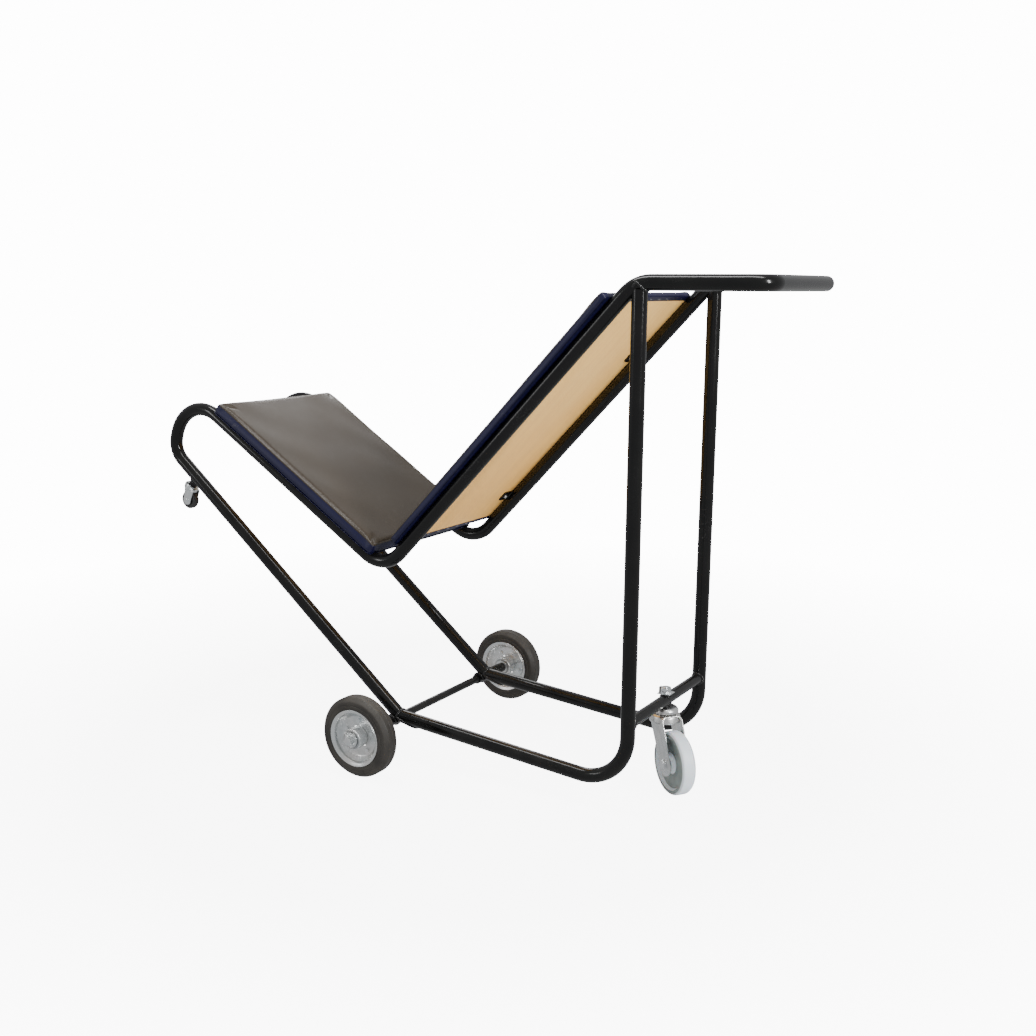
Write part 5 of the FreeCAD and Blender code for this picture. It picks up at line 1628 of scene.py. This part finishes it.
    def screws(self) -> Shape:
        """Pan-head screws: a domed head with a cross sunk into it, and a plain washer under it.

        The head is a flattened dome less a smooth cross: two bars of half width 0.8 mm and length 3 mm.
        """
        angle = np.arange(48) / 48 * TURN
        radius = np.concatenate([np.linspace(0, 0.0034, 14),
                                 np.array([0.0042, 0.0047, 0.0050, 0.0050])])[:, None]
        rise = 0.0031 * np.sqrt(np.clip(1 - (radius / 0.0051) ** 4, 0, 1))
        x, y = radius * np.cos(angle), radius * np.sin(angle)
        bar_x = (np.abs(y) < 0.0008) & (np.abs(x) < 0.0030)
        bar_y = (np.abs(x) < 0.0008) & (np.abs(y) < 0.0030)
        sunk = np.where(bar_x | bar_y, 0.0014 * (1 - radius / 0.0045), 0)
        low = self.board_low - self.lug_steel - 0.0008
        head = Shape.grid(np.stack([x, y, low - rise + sunk], -1))
        base = turned(np.array([(0.0050, low), (0.0, low)]), False, 48)
        washer = ring(0.0026, 0.0062, low, low + 0.0008, 0.0002, 48)
        screw = Shape.joined([head, base, washer])
        return Shape.joined(screw.at(self.place.moved(along, way * self.lug_y)) for along,
                            way in self.lug_spots())

    def build(self, shop: Workshop) -> None:
        """Makes the cushion, the board and what fastens them."""
        word = self.word
        wood = Plywood(name=f"{word}_plywood", slope=-self.slope, shift=3.7 if word == "seat" else 0.0)
        self.cushion(shop)
        shop.piece(f"{word}_fold", self.fold(), "frame", FOLD_VINYL)
        shop.piece(f"{word}_staples", self.staples(), "frame", BRIGHT_STEEL)
        shop.piece(f"{word}_panel", self.panel(), "frame", wood, [f"{word}_board"])
        shop.piece(f"{word}_lug_plates", self.lug_plates(), "frame", ENAMEL, [f"{word}_lugs"])
        shop.piece(f"{word}_lug_welds", self.lug_welds(), "frame", WELD_ENAMEL)
        shop.piece(f"{word}_pan_screws", self.screws(), "frame", ZINC, [f"{word}_screws"])


# ---------------------------------------------------------------------------------------------------------
# Studio
# ---------------------------------------------------------------------------------------------------------


@dataclass
class Studio:
    """Pale floor, soft lights and the camera."""

    camera_at: tuple[float, float, float] = (1.65938, -2.50932, 1.15886)
    yaw: float = math.radians(31.27)
    pitch: float = math.radians(-12.85)
    roll: float = math.radians(0.34)
    lens: float = 42.354
    sensor: float = 36.0
    rise: float = 0.0441
    floor_size: float = 60.0

    def camera(self) -> None:
        """Sets the camera by its yaw, pitch and roll."""
        flat = np.array([-math.sin(self.yaw), math.cos(self.yaw), 0])
        side = np.array([math.cos(self.yaw), math.sin(self.yaw), 0])
        upright = np.array([0, 0, 1.0])
        ahead = math.cos(self.pitch) * flat + math.sin(self.pitch) * upright
        up = -math.sin(self.pitch) * flat + math.cos(self.pitch) * upright
        right = math.cos(self.roll) * side + math.sin(self.roll) * up
        above = -math.sin(self.roll) * side + math.cos(self.roll) * up
        data = bpy.data.cameras.new("camera")
        data.lens, data.sensor_width, data.shift_y = self.lens, self.sensor, self.rise
        made = bpy.data.objects.new("camera", data)
        bpy.context.scene.collection.objects.link(made)
        turn = Matrix([[right[row], above[row], -ahead[row]] for row in range(3)]).to_4x4()
        made.matrix_world = Matrix.Translation(Vector(self.camera_at)) @ turn
        bpy.context.scene.camera = made

    def light(self, name: str, place: tuple[float, float, float], aim: tuple[float, float, float],
              width: float,
              height: float, power: float, tint: tuple[float, float, float] = (1, 1, 1)) -> None:
        """Adds a soft box that faces a point."""
        data = bpy.data.lights.new(name, "AREA")
        data.shape, data.size, data.size_y, data.energy, data.color = "RECTANGLE", width, height, power, tint
        made = bpy.data.objects.new(name, data)
        bpy.context.scene.collection.objects.link(made)
        made.location = place
        made.rotation_mode = "QUATERNION"
        made.rotation_quaternion = (Vector(aim) - Vector(place)).to_track_quat("-Z", "Y")

    def world(self) -> None:
        """White to the camera, and a softer grey to light and reflections."""
        world = bpy.data.worlds.new("studio")
        world.use_nodes = True
        graph = Graph(world.node_tree)
        rays = graph.add("LightPath")
        strength = graph.span(rays.outputs["Is Glossy Ray"], 0.0, 1.0, 0.60, 0.55)
        dim = graph.add("Background", {"Color": colour(0.97, 0.98, 1.0), "Strength": strength})
        white = graph.add("Background", {"Color": colour(1, 1, 1), "Strength": BACKDROP})
        both = graph.add("MixShader",
                         {0: rays.outputs["Is Camera Ray"], 1: dim.outputs[0], 2: white.outputs[0]})
        graph.add("OutputWorld", {"Surface": both.outputs[0]})
        bpy.context.scene.world = world

    def floor(self, shop: Workshop) -> None:
        """Lays the floor just under the wheels."""
        half = self.floor_size / 2
        mesh = bpy.data.meshes.new("floor")
        mesh.from_pydata([(-half, -half, 0), (half, -half, 0), (half, half, 0), (-half, half, 0)], [],
                         [(0, 1, 2, 3)])
        made = bpy.data.objects.new("floor", mesh)
        bpy.context.scene.collection.objects.link(made)
        made.data.materials.append(FLOOR.material(shop.effects))
        made.visible_glossy = False

    def build(self, shop: Workshop) -> None:
        """Sets up the whole studio."""
        self.camera()
        self.world()
        self.floor(shop)
        self.light("overhead", (0.1, -0.4, 3.3), (0.1, 0.0, 0.5), 3.4, 0.5, 85)
        self.light("key", (3.4, -0.9, 1.9), (0.3, 0, 0.5), 0.35, 1.6, 100)
        self.light("fill", (-2.6, -3.0, 1.6), (-0.2, 0, 0.6), 0.4, 1.4, 16)
        self.light("back", (-2.2, 2.8, 2.6), (0.0, 0, 0.6), 1.6, 0.9, 34)


def main() -> None:
    """Builds every sub-assembly, then the studio."""
    logging.basicConfig(level=logging.INFO, format="%(name)s: %(message)s")
    shop = Workshop(Effects())
    TubeFrame().build(shop)
    Axle().build(shop)
    for side in Side:
        MainWheel(side).build(shop)
        NoseCaster(side).build(shop)
    RearCaster().build(shop)
    BedHalf("seat", math.radians(32.56), -0.640, -0.045, 0.023, (-0.150, -0.540)).build(shop)
    BedHalf("back", math.radians(-46.29), 0.082, 0.895, 0.015, (0.184, 0.697)).build(shop)
    Studio().build(shop)
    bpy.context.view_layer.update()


if __name__ == "__main__":
    main()
